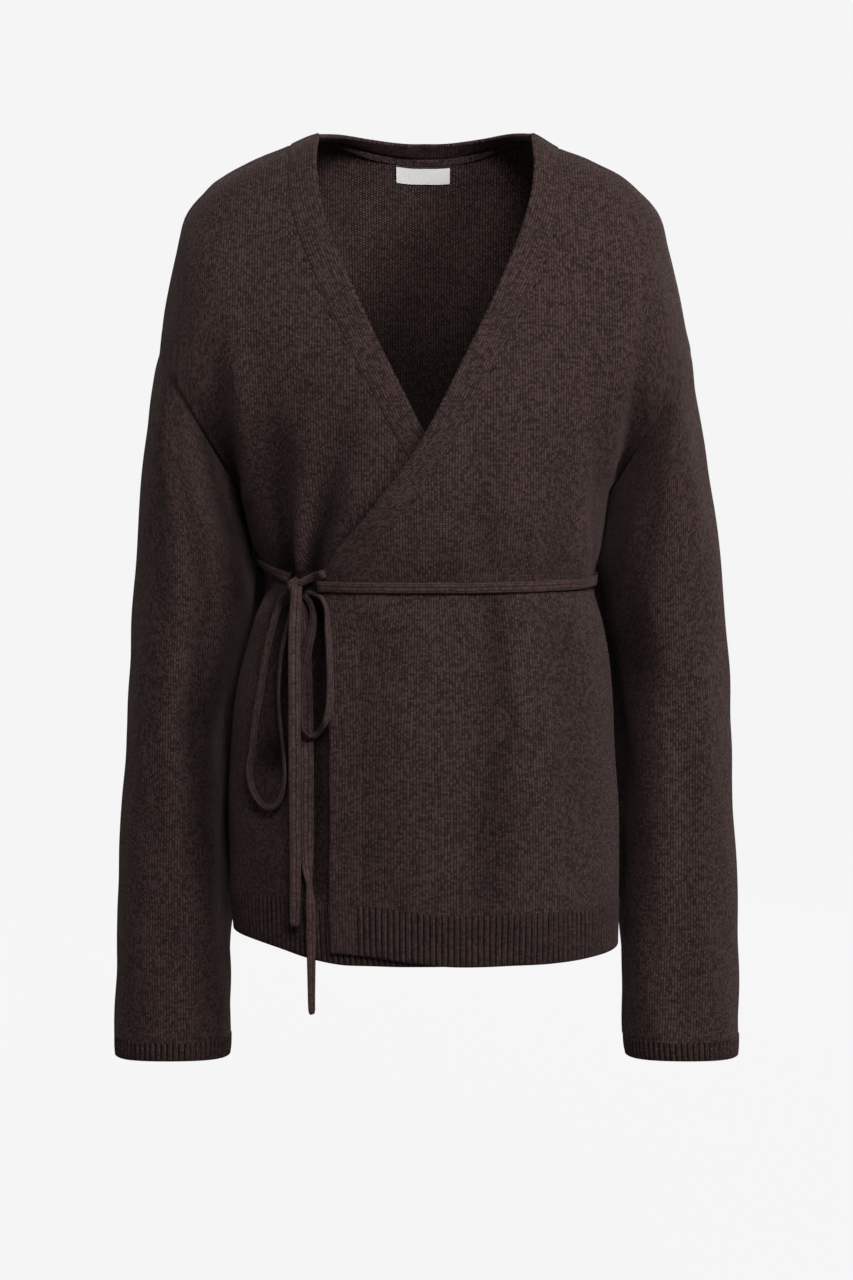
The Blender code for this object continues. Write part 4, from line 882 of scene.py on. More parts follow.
def stroke_tree():
    """Lays a small slanting stroke on each point, along its way and facing out."""
    tree, given, result = new_tree("strokes", [("Size", "Vector"), ("Finish", "Material")])
    node = nodes_for(tree)
    ball = node("GeometryNodeMeshIcoSphere", None, {"Radius": 0.5, "Subdivisions": 2})
    stroke = node("GeometryNodeTransform", None, {"Geometry": ball, "Scale": given.outputs["Size"]})
    kind = {"data_type": "FLOAT_VECTOR"}
    way = node("GeometryNodeInputNamedAttribute", kind, {"Name": "way"})
    facing = node("GeometryNodeInputNamedAttribute", kind, {"Name": "facing"})
    axes = {"primary_axis": "X", "secondary_axis": "Z"}
    turn = node("FunctionNodeAxesToRotation", axes, {0: way, 1: facing})
    strokes = {"Points": given.outputs["Base"], "Instance": stroke, "Rotation": turn}
    laid = node("GeometryNodeInstanceOnPoints", None, strokes)
    whole = node("GeometryNodeRealizeInstances", None, {"Geometry": laid})
    dressed = {"Geometry": whole, "Material": given.outputs["Finish"]}
    tree.links.new(node("GeometryNodeSetMaterial", None, dressed), result.inputs[0])
    return tree


STROKES = stroke_tree()
# The strokes' near-black colour is painted shade, darker than the yarn itself
MARK_SHADE = Finish("shaping_mark_shade")
MARK_SHADE.shader.inputs["Base Color"].default_value = (0.0105, 0.0064, 0.0059, 1.0)
MARK_SHADE.shader.inputs["Roughness"].default_value = 0.95
MARK_SHADE.shader.inputs["Specular IOR Level"].default_value = 0.05


def shaping_marks(name, outer, column, side, slant):
    """The marks of one front, from below the shoulder to where the fronts cross."""
    line = outer[:, column]
    out = normals(outer)[:, column]
    below = -line[:, 2]
    rows = [int(np.argmin(abs(below - b))) for b in np.arange(0.085, 0.335, MARK_STEP)]
    along = unit(np.gradient(line, axis=0))[rows]
    across = np.cross(along, out[rows]) * side
    way = unit(along + slant * across)
    mesh = bpy.data.meshes.new(name)
    mesh.from_pydata((line[rows] - out[rows] * 0.0001).tolist(), [], [])
    for key, data in {"way": way, "facing": out[rows]}.items():
        mesh.attributes.new(key, "FLOAT_VECTOR", "POINT").data.foreach_set("vector", data.reshape(-1))
    piece = bpy.data.objects.new(name, mesh)
    bpy.context.scene.collection.objects.link(piece)
    size = (MARK_LENGTH, MARK_WIDTH, MARK_HEIGHT)
    made_by(STROKES, piece, {"Size": size, "Finish": MARK_SHADE.material})
    piece.data.shade_smooth()
    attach(piece, "root")


shaping_marks("left_front_marks", LEFT_OUTER, len(STRIP_STEPS) - 1, 1, 0.25)
shaping_marks("right_front_marks", RIGHT_OUTER, -len(STRIP_STEPS), -1, 0.25)


# The hem ribs: a band of one by one rib knitted on under each panel, drawn in by its columns. The
# fronts' bands start with the plain strip of the front edge.
RIB_PITCH = 0.0048
RIB_HEIGHT = 0.0021
RIB_COLUMNS = 8
HEM_EDGE_STRIP = 0.022
RIB_ROWS = 12


def rib_tree():
    """Raises cloth into ribs: each point's place along the band and how much of a rib it carries."""
    inputs = [("Pitch", "Float"), ("Height", "Float"), ("Finish", "Material")]
    tree, given, result = new_tree("ribs", inputs)
    node = nodes_for(tree)

    def attribute(kind, name):
        return node("GeometryNodeInputNamedAttribute", {"data_type": kind}, {"Name": name})

    def sum_of(operation, *values):
        return node("ShaderNodeMath", {"operation": operation}, dict(enumerate(values)))

    turns = sum_of("MULTIPLY", sum_of("DIVIDE", attribute("FLOAT", "rib_along"), given.outputs["Pitch"]), math.pi)
    wave = sum_of("POWER", sum_of("ABSOLUTE", sum_of("SINE", turns)), 0.72)
    rise = sum_of("MULTIPLY", sum_of("SUBTRACT", wave, 0.55), attribute("FLOAT", "rib_share"))
    rise = sum_of("MULTIPLY", rise, given.outputs["Height"])
    move = {0: attribute("FLOAT_VECTOR", "rib_out"), "Scale": rise}
    move = node("ShaderNodeVectorMath", {"operation": "SCALE"}, move)
    moved = node("GeometryNodeSetPosition", None, {"Geometry": given.outputs["Base"], "Offset": move})
    whole = node("GeometryNodeRealizeInstances", None, {"Geometry": moved})
    dressed = {"Geometry": whole, "Material": given.outputs["Finish"]}
    tree.links.new(node("GeometryNodeSetMaterial", None, dressed), result.inputs[0])
    return tree


RIBS = rib_tree()
RIB_KNIT = knit_finish("rib_stitch", "smooth", 0.8, wale=RIB_PITCH / 2, course=0.0017, pitch=RIB_PITCH)


def rib_band(name, outer, inner, out, along, share, knit, rolls, around=False):
    """A band of cloth raised into ribs: along and share are a length and an amount at each column."""
    piece = cloth_piece(name, outer, inner, knit, [RIB_KNIT], rolls, None, around)
    count = len(piece.data.vertices)
    total = outer.shape[0] * outer.shape[1]
    values = {"rib_along": np.zeros(count), "rib_share": np.zeros(count)}
    values["rib_along"][:total] = np.broadcast_to(along, outer.shape[:2]).reshape(-1)
    values["rib_share"][:total] = np.broadcast_to(share, outer.shape[:2]).reshape(-1)
    for key, data in values.items():
        piece.data.attributes.new(key, "FLOAT", "POINT").data.foreach_set("value", data)
    ways = np.zeros((count, 3))
    ways[:total] = out.reshape(-1, 3)
    piece.data.attributes.new("rib_out", "FLOAT_VECTOR", "POINT").data.foreach_set("vector", ways.reshape(-1))
    made_by(RIBS, piece, {"Pitch": RIB_PITCH, "Height": RIB_HEIGHT, "Finish": RIB_KNIT})
    return piece


def hem_rib(name, node, sigma_ends, face, folds, lapping=False, plain=0.0):
    fine = np.linspace(sigma_ends[0], sigma_ends[1], 900)
    row = form(fine, np.full_like(fine, RIB_TOP_LEVEL / 2), face, lapping)
    along = np.concatenate([[0.0], np.cumsum(np.linalg.norm(np.diff(row, axis=0), axis=1))])
    ribs = round((along[-1] - plain) / RIB_PITCH)
    at = plain + np.linspace(0.0, along[-1] - plain, RIB_COLUMNS * ribs + 1)
    count = np.linspace(0.0, ribs * RIB_PITCH, RIB_COLUMNS * ribs + 1)
    share = np.ones(len(at))
    if plain:
        start = np.linspace(0.0, plain, 9)[:-1]
        at = np.concatenate([start, at])
        count = np.concatenate([np.zeros(8), count])
        share = np.concatenate([np.zeros(8), share])
    sigma = np.interp(at, along, fine)
    knit_at = count + at * (share < 0.5) - plain * (share < 0.5)
    if sigma_ends[1] < sigma_ends[0]:
        sigma, count, share, knit_at = sigma[::-1], count[::-1], share[::-1], knit_at[::-1]
    level = np.linspace(0.0, RIB_TOP_LEVEL, RIB_ROWS + 1)
    grid_sigma, grid_level = np.broadcast_arrays(sigma, level[:, None])
    outer = draped(grid_sigma, grid_level, face, folds, lapping)
    out = normals(outer) * -face
    ends = np.abs(grid_sigma) > 0.9999
    out[ends, 1] = 0.0
    out[..., 2] = 0.0
    out = unit(out)
    inner = outer - out * CLOTH
    outer = outer + out * (0.0003 * (share < 0.5))[None, :, None]
    for grid in (outer, inner):
        if face < 0:
            grid[..., 1] = np.minimum(grid[..., 1], 0.0)
        else:
            grid[..., 1] = np.maximum(grid[..., 1], 0.0)
    fade = 1 - 0.85 * smooth((level - 0.90 * RIB_TOP_LEVEL) / (0.10 * RIB_TOP_LEVEL))
    up = np.broadcast_to((level * LEVEL_LENGTH)[:, None], grid_sigma.shape)
    knit = np.stack([np.broadcast_to(knit_at, grid_sigma.shape), up], axis=-1)
    rolls = {"bottom": 0.0012}
    if plain:
        rolls["first" if sigma_ends[1] > 0 else "last"] = 0.0012
    piece = rib_band(name, outer, inner, out, count, share[None, :] * fade[:, None], knit, rolls)
    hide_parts(node)
    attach(piece, "root")
    return piece


rib_middle = np.array([RIB_TOP_LEVEL / 2])
left_edge = float(edge_sigma(rib_middle, 1)[0])
right_edge = float(edge_sigma(rib_middle, -1)[0])
hem_rib("hem_band_left", "hem_rib_front_left", (left_edge, 1.0), -1, LEFT_FOLDS, True, HEM_EDGE_STRIP)
hem_rib("hem_band_right", "hem_rib_front_right", (right_edge, -1.0), -1, RIGHT_FOLDS, False, HEM_EDGE_STRIP)
hem_rib("hem_band_back", "hem_rib_back", (-1.0, 1.0), 1, BACK_FOLDS)


# The sleeves: full straight tubes sewn into the dropped armholes, one seam along the inside of the
# arm. They hang close behind the body's sides and are creased where the arm bends forward.
SleeveRing = namedtuple("SleeveRing", "outer_below outer_reach inner_below inner_reach half_depth back tuck")
RIGHT_SLEEVE = [
    SleeveRing(DROP_BELOW, DROP_REACH, UNDERARM_BELOW, UNDERARM_REACH, ARMHOLE_DEPTH, 0.000, 0.000),
    SleeveRing(0.225, 0.2255, 0.318, 0.1458, 0.066, 0.001, 0.025),
    SleeveRing(0.285, 0.2325, 0.352, 0.1415, 0.065, 0.004, 0.034),
    SleeveRing(0.345, 0.2370, 0.392, 0.1450, 0.063, 0.008, 0.043),
    SleeveRing(0.405, 0.2415, 0.435, 0.1560, 0.061, 0.011, 0.040),
    SleeveRing(0.465, 0.2450, 0.482, 0.1670, 0.059, 0.012, 0.032),
    SleeveRing(0.530, 0.2490, 0.540, 0.1690, 0.057, 0.012, 0.032),
    SleeveRing(0.600, 0.2532, 0.605, 0.1670, 0.055, 0.011, 0.030),
    SleeveRing(0.670, 0.2556, 0.672, 0.1630, 0.053, 0.009, 0.016),
    SleeveRing(0.739, 0.2576, 0.739, 0.1610, 0.050, 0.008, 0.003),
    SleeveRing(0.753, 0.2572, 0.753, 0.1620, 0.0488, 0.008, 0.002),
]
LEFT_SLEEVE = [
    SleeveRing(DROP_BELOW, DROP_REACH, UNDERARM_BELOW, UNDERARM_REACH, ARMHOLE_DEPTH, 0.000, 0.000),
    SleeveRing(0.225, 0.2225, 0.318, 0.1474, 0.066, 0.001, 0.020),
    SleeveRing(0.285, 0.2335, 0.352, 0.1450, 0.065, 0.004, 0.034),
    SleeveRing(0.345, 0.2425, 0.392, 0.1500, 0.063, 0.008, 0.038),
    SleeveRing(0.405, 0.2475, 0.435, 0.1590, 0.061, 0.010, 0.031),
    SleeveRing(0.465, 0.2510, 0.482, 0.1645, 0.059, 0.011, 0.031),
    SleeveRing(0.530, 0.2535, 0.540, 0.1670, 0.057, 0.011, 0.031),
    SleeveRing(0.600, 0.2572, 0.605, 0.1655, 0.055, 0.010, 0.028),
    SleeveRing(0.670, 0.2590, 0.672, 0.1635, 0.053, 0.009, 0.014),
    SleeveRing(0.739, 0.2600, 0.739, 0.1640, 0.050, 0.008, 0.003),
    SleeveRing(0.753, 0.2594, 0.753, 0.1660, 0.0488, 0.008, 0.002),
]

# Sleeve folds: turn is round the sleeve, 0 outside, 90 in front, 180 inside; along is 0 to 1 down it
SleeveFold = namedtuple("SleeveFold", "turn0 along0 turn1 along1 width0 width1 depth0 depth1")
RIGHT_SLEEVE_FOLDS = [
    SleeveFold(88, 0.03, 118, 0.48, 13, 16, 0.0012, 0.0080),
    SleeveFold(120, 0.54, 124, 0.74, 16, 22, 0.0042, 0.0008),
    SleeveFold(70, 0.12, 92, 0.42, 12, 14, -0.0006, -0.0018),
    SleeveFold(60, 0.44, 92, 0.78, 14, 20, 0.0010, 0.0028),
    SleeveFold(300, 0.04, 238, 0.34, 18, 24, 0.0020, 0.0050),
    SleeveFold(286, 0.42, 250, 0.78, 22, 26, 0.0010, 0.0035),
    SleeveFold(330, 0.28, 300, 0.44, 12, 16, 0.0006, 0.0016),
]
LEFT_SLEEVE_FOLDS = [
    SleeveFold(104, 0.04, 138, 0.40, 14, 20, 0.0010, 0.0046),
    SleeveFold(64, 0.46, 70, 0.84, 9, 12, -0.0016, -0.0010),
    SleeveFold(84, 0.44, 92, 0.84, 12, 16, 0.0016, 0.0022),
    SleeveFold(30, 0.20, 60, 0.36, 12, 16, 0.0006, 0.0016),
    SleeveFold(300, 0.05, 240, 0.36, 18, 24, 0.0018, 0.0046),
    SleeveFold(280, 0.46, 254, 0.80, 22, 26, 0.0012, 0.0032),
]
TUCK_TURN = math.radians(238)
TUCK_WIDTH = math.radians(30)
CUFF_SHARE = 1 - 1 / (len(RIGHT_SLEEVE) - 1)
SLEEVE_ROWS = 132
SLEEVE_COLUMNS = 96
CUFF_RIB = 0.014
CUFF_DROP = 0.0030


def sleeve_form(table, side, turn, along):
    """A point of a sleeve's form; turn in radians, as in the folds, along from 0 to 1 down the arm."""
    rows = np.array(table, float)
    keyed = np.column_stack([np.linspace(0.0, 1.0, len(rows)), rows])
    outer_below, outer_reach, inner_below, inner_reach, half_depth, back, tuck = np.moveaxis(
        through(keyed, along), -1, 0
    )
    power = 1 + smooth(along / 0.35)
    share = np.abs(np.cos(turn / 2)) ** power
    reach = inner_reach + (outer_reach - inner_reach) * share
    below = inner_below + (outer_below - inner_below) * share
    below = below + CUFF_DROP * np.cos(turn) ** 2 * smooth((along - CUFF_SHARE) / (1 - CUFF_SHARE))
    reach = reach - tuck * np.exp(-(((turn % (2 * math.pi) - TUCK_TURN) / TUCK_WIDTH) ** 2))
    return points(side * reach, back - half_depth * np.sin(turn), -below)


def sleeve_trough(folds, turn, along):
    total = np.zeros_like(turn)
    degrees = np.degrees(turn) % 360
    for f in folds:
        t = np.clip((along - f.along0) / (f.along1 - f.along0), 0.0, 1.0)
        centre = f.turn0 + (f.turn1 - f.turn0) * t
        width = f.width0 + (f.width1 - f.width0) * t
        past = (along - (f.along0 + (f.along1 - f.along0) * t)) / 0.05
        away = ((degrees - centre) / width) ** 2 + past**2
        total += (f.depth0 + (f.depth1 - f.depth0) * t) * np.exp(-away)
    return total


def tube_normals(grid, side):
    """Outward directions of a grid whose rows go round and whose columns close on themselves."""
    round_it = np.roll(grid, -1, axis=1) - np.roll(grid, 1, axis=1)
    return unit(np.cross(round_it, np.gradient(grid, axis=0))) * side


def ring_gauge(grid, down):
    """Knit coordinates of a tube: round it from the middle column both ways, and down it. One more
    column than the tube has, so that the stitches don't run backwards where it closes."""
    closed = np.concatenate([grid, grid[:, :1]], axis=1)
    steps = np.linalg.norm(np.diff(closed, axis=1), axis=2)
    round_it = np.concatenate([np.zeros((len(grid), 1)), np.cumsum(steps, axis=1)], axis=1)
    round_it -= round_it[:, grid.shape[1] // 2, None]
    return np.stack([round_it, np.broadcast_to(down[:, None], round_it.shape)], axis=-1)


def sleeve(name, node, cuff_name, cuff_node, table, folds, side):
    turn = -math.pi + np.arange(SLEEVE_COLUMNS) * 2 * math.pi / SLEEVE_COLUMNS
    first = np.array([0.0, 0.003, 0.006, 0.010, 0.015])
    along = np.concatenate([first, np.linspace(0.020, CUFF_SHARE, SLEEVE_ROWS - 4)])
    turns, alongs = np.meshgrid(turn, along)
    outer = sleeve_form(table, side, turns, alongs)
    out = tube_normals(outer, side)
    middle = outer.mean(axis=1)
    length = np.concatenate([[0.0], np.cumsum(np.linalg.norm(np.diff(middle, axis=0), axis=1))])
    move = -sleeve_trough(folds, turns, alongs)
    move += unevenness(turns * 0.055 + 0.2 * side, length[:, None]) * smooth(alongs / 0.04)
    move -= 0.0003 * np.exp(-(((alongs - 0.008) / 0.006) ** 2))
    outer = outer + out * move[..., None]
    out = tube_normals(outer, side)
    wrapped = turn % (2 * math.pi)
    face = np.where(wrapped <= math.pi, -1.0, 1.0)
    share = np.where(wrapped <= math.pi, 1 - wrapped / math.pi, wrapped / math.pi - 1)
    for k in range(SLEEVE_COLUMNS):
        outer[0, k] = armhole(share[k : k + 1], side, face[k])[0]
        out[0, k] = armhole_normals(share[k : k + 1], side, face[k])[0]
    inner = outer - out * CLOTH
    for grid in (outer, inner):
        grid[-1, :, 2] = -table[-2].outer_below
    knit = ring_gauge(outer, -length)
    # Painted shade on the sleeve's inner side towards the body and deep in its folds, with painted light on the
    # front of the left sleeve
    degrees = np.degrees(turns) % 360
    shade = smooth((degrees - 108) / 45) * smooth((262 - degrees) / 50)
    shade = (0.42 if side < 0 else 0.22) * shade * smooth((alongs - 0.02) / 0.10) * smooth((0.86 - alongs) / 0.25)
    shade = shade + 0.42 * np.clip(sleeve_trough(folds, turns, alongs) / 0.008, 0.0, 1.0)
    if side > 0:
        shade = shade - 0.30 * smooth((degrees - 70) / 40) * smooth((175 - degrees) / 45) * smooth((alongs - 0.38) / 0.12)
    # Painted shade over the whole inner face of the sleeve
    painted_shading = (np.clip(shade, -0.4, 0.8), np.full(turns.shape, 0.5))
    piece = cloth_piece(name, outer, inner, knit, [SMOOTH_KNIT, PURL_KNIT], {}, None, True, painted_shading)
    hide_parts(node)
    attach(piece, "root")

    fine = np.linspace(-math.pi, math.pi, 900)
    ring = sleeve_form(table, side, fine, np.full_like(fine, 1.0))
    along_ring = np.concatenate([[0.0], np.cumsum(np.linalg.norm(np.diff(ring, axis=0), axis=1))])
    ribs = round(along_ring[-1] / RIB_PITCH)
    count = RIB_COLUMNS * ribs
    turn = np.interp(np.arange(count) / count * along_ring[-1], along_ring, fine)
    turns, alongs = np.meshgrid(turn, np.linspace(CUFF_SHARE, 1.0, 8))
    outer = sleeve_form(table, side, turns, alongs)
    out = tube_normals(outer, side)
    outer = outer - out * 0.0007
    inner = outer - out * CLOTH
    along_ribs = np.arange(count) / RIB_COLUMNS * RIB_PITCH
    knit_along = np.arange(count + 1) / RIB_COLUMNS * RIB_PITCH
    knit = np.stack(np.broadcast_arrays(knit_along, -np.linspace(0.0, CUFF_RIB, 8)[:, None]), axis=-1)
    cuff = rib_band(cuff_name, outer, inner, out, along_ribs, np.ones(count), knit, {"top": 0.0012}, True)
    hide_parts(cuff_node)
    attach(cuff, "root")
    return piece


sleeve("right_sleeve", "sleeve_right", "right_cuff", "cuff_rib_right", RIGHT_SLEEVE, RIGHT_SLEEVE_FOLDS, -1)
sleeve("left_sleeve", "sleeve_left", "left_cuff", "cuff_rib_left", LEFT_SLEEVE, LEFT_SLEEVE_FOLDS, 1)


# The back neck: a narrow rolled band in two halves, joined at the centre back, a flat knitted tape
# over its seam inside, and a bare white satin label sewn on below the tape.
BAND_THICKNESS = 0.0034
BAND_ROWS = 9


def neckband(name, node, side):
    """One half of the band; its foot follows the back's top edge."""
    middle = BACK_OUTER.shape[1] // 2
    order = np.arange(0, NECK_HALF_COLUMNS + 1) if side > 0 else np.arange(-NECK_HALF_COLUMNS, 1)
    foot, foot_inner = BACK_OUTER[-1, middle + order], BACK_INNER[-1, middle + order]
    psi = order / NECK_HALF_COLUMNS
    inset = np.linspace(0.0, 1.0, BAND_ROWS)[1:, None]
    sigma, share = back_neck(psi[None, :], inset)
    above = form(sigma, 1 + share, 1)
    out = -normals(above)
    fullness = 0.0007 * np.sin(inset * math.pi)[..., None]
    outer = np.concatenate([foot[None], above + out * fullness])
    inner = np.concatenate([foot_inner[None], above - out * (BAND_THICKNESS + fullness)])
    for grid in (outer, inner):
        grid[..., 1] = np.maximum(grid[..., 1], 0.0)
        grid[:, 0 if side > 0 else -1, 0] = -side * 0.0002
    up = np.concatenate([[0.0], np.cumsum(np.linalg.norm(np.diff(outer[:, 5], axis=0), axis=1))])
    reach = np.cumsum(np.linalg.norm(np.diff(outer, axis=1, prepend=outer[:, :1]), axis=2), axis=1)
    knit = np.stack([reach, np.broadcast_to(up[:, None], reach.shape)], axis=-1)
    piece = cloth_piece(name, outer, inner, knit, [SMOOTH_KNIT], {"top": 0.0017})
    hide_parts(node)
    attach(piece, "root")


neckband("band_left", "neckband_left", 1)
neckband("band_right", "neckband_right", -1)

Strip = namedtuple("Strip", "top bottom thickness reach")
TAPE = Strip(0.0006, 0.0052, 0.0009, 0.078)
LABEL = Strip(0.0068, 0.0220, 0.0007, 0.0230)
LABEL_ROWS = 13


def inside_back(name, node, strip, columns, rows, finish, aside=0.0):
    """A strip inside the back: top and bottom are lengths down from its top edge."""
    middle = BACK_INNER.shape[1] // 2
    reach = np.linspace(-strip.reach, strip.reach, columns) + aside
    line, below = BACK_INNER[-1], BACK_INNER[-6]
    face = unit(BACK_INNER[-1] - BACK_OUTER[-1])
    keep = slice(middle - NECK_HALF_COLUMNS, middle + NECK_HALF_COLUMNS + 1)

    def across(grid):
        grid = grid[keep]
        order = np.argsort(grid[:, 0])
        return np.stack([np.interp(reach, line[keep][order, 0], grid[order, k]) for k in range(3)], axis=-1)

    upper, down, into = across(line), unit(across(below) - across(line)), unit(across(face))
    at = np.linspace(strip.bottom, strip.top, rows)[:, None, None]
    base = upper[None] + down[None] * at + into[None] * 0.0005
    outer = base + into[None] * strip.thickness
    knit = np.stack(np.broadcast_arrays(reach[None, :] - aside, -at[..., 0]), axis=-1)
    piece = cloth_piece(name, outer, base, knit, [finish], {"top": 0.0003, "bottom": 0.0003})
    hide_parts(node)
    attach(piece, "root")
    return piece


TAPE_KNIT = knit_finish("tape_stitch", "purl", 1.0, wale=0.0019, course=0.0019, lightness=1.25)
tape = inside_back("tape", "neck_tape", TAPE, 61, 7, TAPE_KNIT)

SATIN = (0.93, 0.925, 0.905)
SATIN_EDGE = (0.006, 0.005, 0.005)
satin = Finish("label_satin")
satin_place = satin.add("ShaderNodeUVMap", {"uv_map": "knit"})
satin_parts = satin.tree.nodes.new("ShaderNodeSeparateXYZ")
satin.put(satin_parts.inputs[0], satin_place)
satin_x, satin_z = (Socket(satin, satin_parts.outputs[k]) for k in (0, 1))
thread = abs((satin_z / 0.00028).math("FRACT") - 0.5) * 2.0
near_side = (abs(satin_x) - (LABEL.reach - 0.0008)) * 4000.0
near_end = (abs(satin_z + (LABEL.top + LABEL.bottom) / 2) - ((LABEL.bottom - LABEL.top) / 2 - 0.0008)) * 4000.0
border = near_side.math("MAXIMUM", near_end).math("MAXIMUM", 0.0).math("MINIMUM", 1.0)
weave = satin.blend(thread, (SATIN[0] * 0.93, SATIN[1] * 0.93, SATIN[2] * 0.93, 1.0), (*SATIN, 1.0))
satin.put(satin.shader.inputs["Base Color"], satin.blend(border, weave, (*SATIN_EDGE, 1.0)))
satin.put(satin.shader.inputs["Roughness"], 0.38 + 0.12 * thread)
satin_bump = satin.add("ShaderNodeBump", None, {"Strength": 0.3, "Distance": 0.0001, "Height": thread})
satin.put(satin.shader.inputs["Normal"], satin_bump)
label = inside_back("back_label", "label", LABEL, 47, LABEL_ROWS, satin.material, -0.0024)


# The tie belt: flat knitted straps. The long one is sewn to the left front's edge and runs round the
# waist to the wearer's right, where it meets the short one in a bow with two loops and two ends.
TIE_WIDTH = 0.0098
TIE_THICKNESS = 0.0026
TIE_CLEAR = 0.0005
BELT_END = -0.1110
Knot = namedtuple("Knot", "x z lift")
KNOT = Knot(-0.1020, -0.3635, -0.0010)
KNOT_RADII = (0.0074, 0.0052, 0.0060)

# Places on a strap's middle line: lift is the room between its back and the most forward cloth
# behind it, and turned is how far its face looks away from the front, 90 being edge on
TiePoint = namedtuple("TiePoint", "x z lift turned width")
LOOP_LEFT = [
    TiePoint(-0.1080, -0.3665, 0.0060, 15, 0.50),
    TiePoint(-0.1140, -0.3728, 0.0062, 20, 0.60),
    TiePoint(-0.1184, -0.3830, 0.0056, 22, 0.62),
    TiePoint(-0.1230, -0.3987, 0.0050, 24, 0.62),
    TiePoint(-0.1271, -0.4169, 0.0040, 24, 0.62),
    TiePoint(-0.1305, -0.4374, 0.0030, 26, 0.62),
    TiePoint(-0.1356, -0.4681, 0.0020, 28, 0.62),
    TiePoint(-0.1388, -0.4949, 0.0016, 34, 0.64),
    TiePoint(-0.1408, -0.5123, 0.0000, 60, 0.90),
    TiePoint(-0.1385, -0.5248, 0.0000, 66, 0.90),
    TiePoint(-0.1330, -0.5340, 0.0000, 70, 0.90),
    TiePoint(-0.1254, -0.5390, 0.0000, 72, 0.90),
    TiePoint(-0.1190, -0.5370, 0.0000, 74, 0.90),
    TiePoint(-0.1151, -0.5304, 0.0000, 76, 0.90),
    TiePoint(-0.1122, -0.5170, 0.0000, 78, 0.90),
    TiePoint(-0.1127, -0.4989, 0.0010, 80, 0.90),
    TiePoint(-0.1151, -0.4768, 0.0012, 80, 0.90),
    TiePoint(-0.1170, -0.4547, 0.0014, 80, 0.90),
    TiePoint(-0.1166, -0.4330, 0.0018, 80, 0.90),
    TiePoint(-0.1136, -0.4100, 0.0022, 76, 0.80),
    TiePoint(-0.1088, -0.3900, 0.0020, 70, 0.65),
    TiePoint(-0.1056, -0.3790, 0.0016, 60, 0.55),
    TiePoint(-0.1044, -0.3711, 0.0016, 60, 0.45),
]
LOOP_RIGHT = [
    TiePoint(-0.0945, -0.3672, 0.0040, 50, 0.36),
    TiePoint(-0.0885, -0.3684, 0.0050, 60, 0.42),
    TiePoint(-0.0822, -0.3706, 0.0050, 66, 0.50),
    TiePoint(-0.0786, -0.3765, 0.0046, 68, 0.60),
    TiePoint(-0.0769, -0.3939, 0.0036, 68, 0.90),
    TiePoint(-0.0749, -0.4230, 0.0036, 62, 0.90),
    TiePoint(-0.0746, -0.4402, 0.0036, 58, 0.90),
    TiePoint(-0.0769, -0.4622, 0.0036, 60, 0.90),
    TiePoint(-0.0832, -0.4756, 0.0040, 64, 0.90),
    TiePoint(-0.0910, -0.4810, 0.0050, 66, 0.90),
    TiePoint(-0.0972, -0.4760, 0.0056, 60, 0.90),
    TiePoint(-0.0995, -0.4654, 0.0060, 50, 0.90),
    TiePoint(-0.0993, -0.4520, 0.0064, 40, 0.90),
    TiePoint(-0.0975, -0.4379, 0.0064, 30, 0.90),
    TiePoint(-0.0952, -0.4230, 0.0064, 25, 0.90),
    TiePoint(-0.0930, -0.4088, 0.0064, 25, 0.90),
    TiePoint(-0.0900, -0.3970, 0.0064, 30, 0.80),
    TiePoint(-0.0890, -0.3860, 0.0064, 40, 0.70),
    TiePoint(-0.0912, -0.3765, 0.0060, 30, 0.55),
    TiePoint(-0.0962, -0.3697, 0.0055, 20, 0.40),
]
END_SHORT = [
    TiePoint(-0.1018, -0.3622, 0.0120, 0, 0.84),
    TiePoint(-0.1022, -0.3660, 0.0138, 0, 0.92),
    TiePoint(-0.1027, -0.3790, 0.0145, 0, 0.98),
    TiePoint(-0.1031, -0.3902, 0.0155, 0, 1.00),
    TiePoint(-0.1031, -0.4528, 0.0170, 0, 1.00),
    TiePoint(-0.1031, -0.5311, 0.0100, 6, 0.97),
    TiePoint(-0.1031, -0.5937, 0.0060, 4, 0.92),
    TiePoint(-0.1033, -0.6290, 0.0050, 0, 0.90),
    TiePoint(-0.1033, -0.6312, 0.0050, 0, 0.55),
]
END_LONG = [
    TiePoint(-0.0992, -0.3716, 0.0008, 40, 0.42),
    TiePoint(-0.0978, -0.3780, 0.0008, 44, 0.60),
    TiePoint(-0.0960, -0.3874, 0.0010, 40, 0.80),
    TiePoint(-0.0950, -0.4071, 0.0010, 10, 0.90),
    TiePoint(-0.0941, -0.4543, 0.0010, 0, 1.05),
    TiePoint(-0.0937, -0.5016, 0.0010, 0, 1.12),
    TiePoint(-0.0937, -0.5567, 0.0018, 0, 1.10),
    TiePoint(-0.0934, -0.5840, 0.0024, 20, 1.00),
    TiePoint(-0.0920, -0.5980, 0.0024, 66, 0.90),
    TiePoint(-0.0909, -0.6120, 0.0024, 30, 0.85),
    TiePoint(-0.0905, -0.6354, 0.0024, 10, 0.80),
    TiePoint(-0.0903, -0.6708, 0.0024, 30, 0.72),
    TiePoint(-0.0900, -0.6985, 0.0024, 40, 0.65),
    TiePoint(-0.0899, -0.7007, 0.0024, 40, 0.45),
]
TIE_SHORT = [
    TiePoint(-0.0705, -0.3478, -0.0088, 0, 0.60),
    TiePoint(-0.0762, -0.3500, -0.0084, 0, 0.66),
    TiePoint(-0.0822, -0.3526, -0.0012, 0, 0.70),
    TiePoint(-0.0900, -0.3556, 0.0050, 0, 0.66),
    TiePoint(-0.0970, -0.3588, 0.0085, 0, 0.62),
    TiePoint(-0.1030, -0.3624, 0.0085, 0, 0.58),
    TiePoint(-0.1080, -0.3664, 0.0060, 0, 0.52),
]
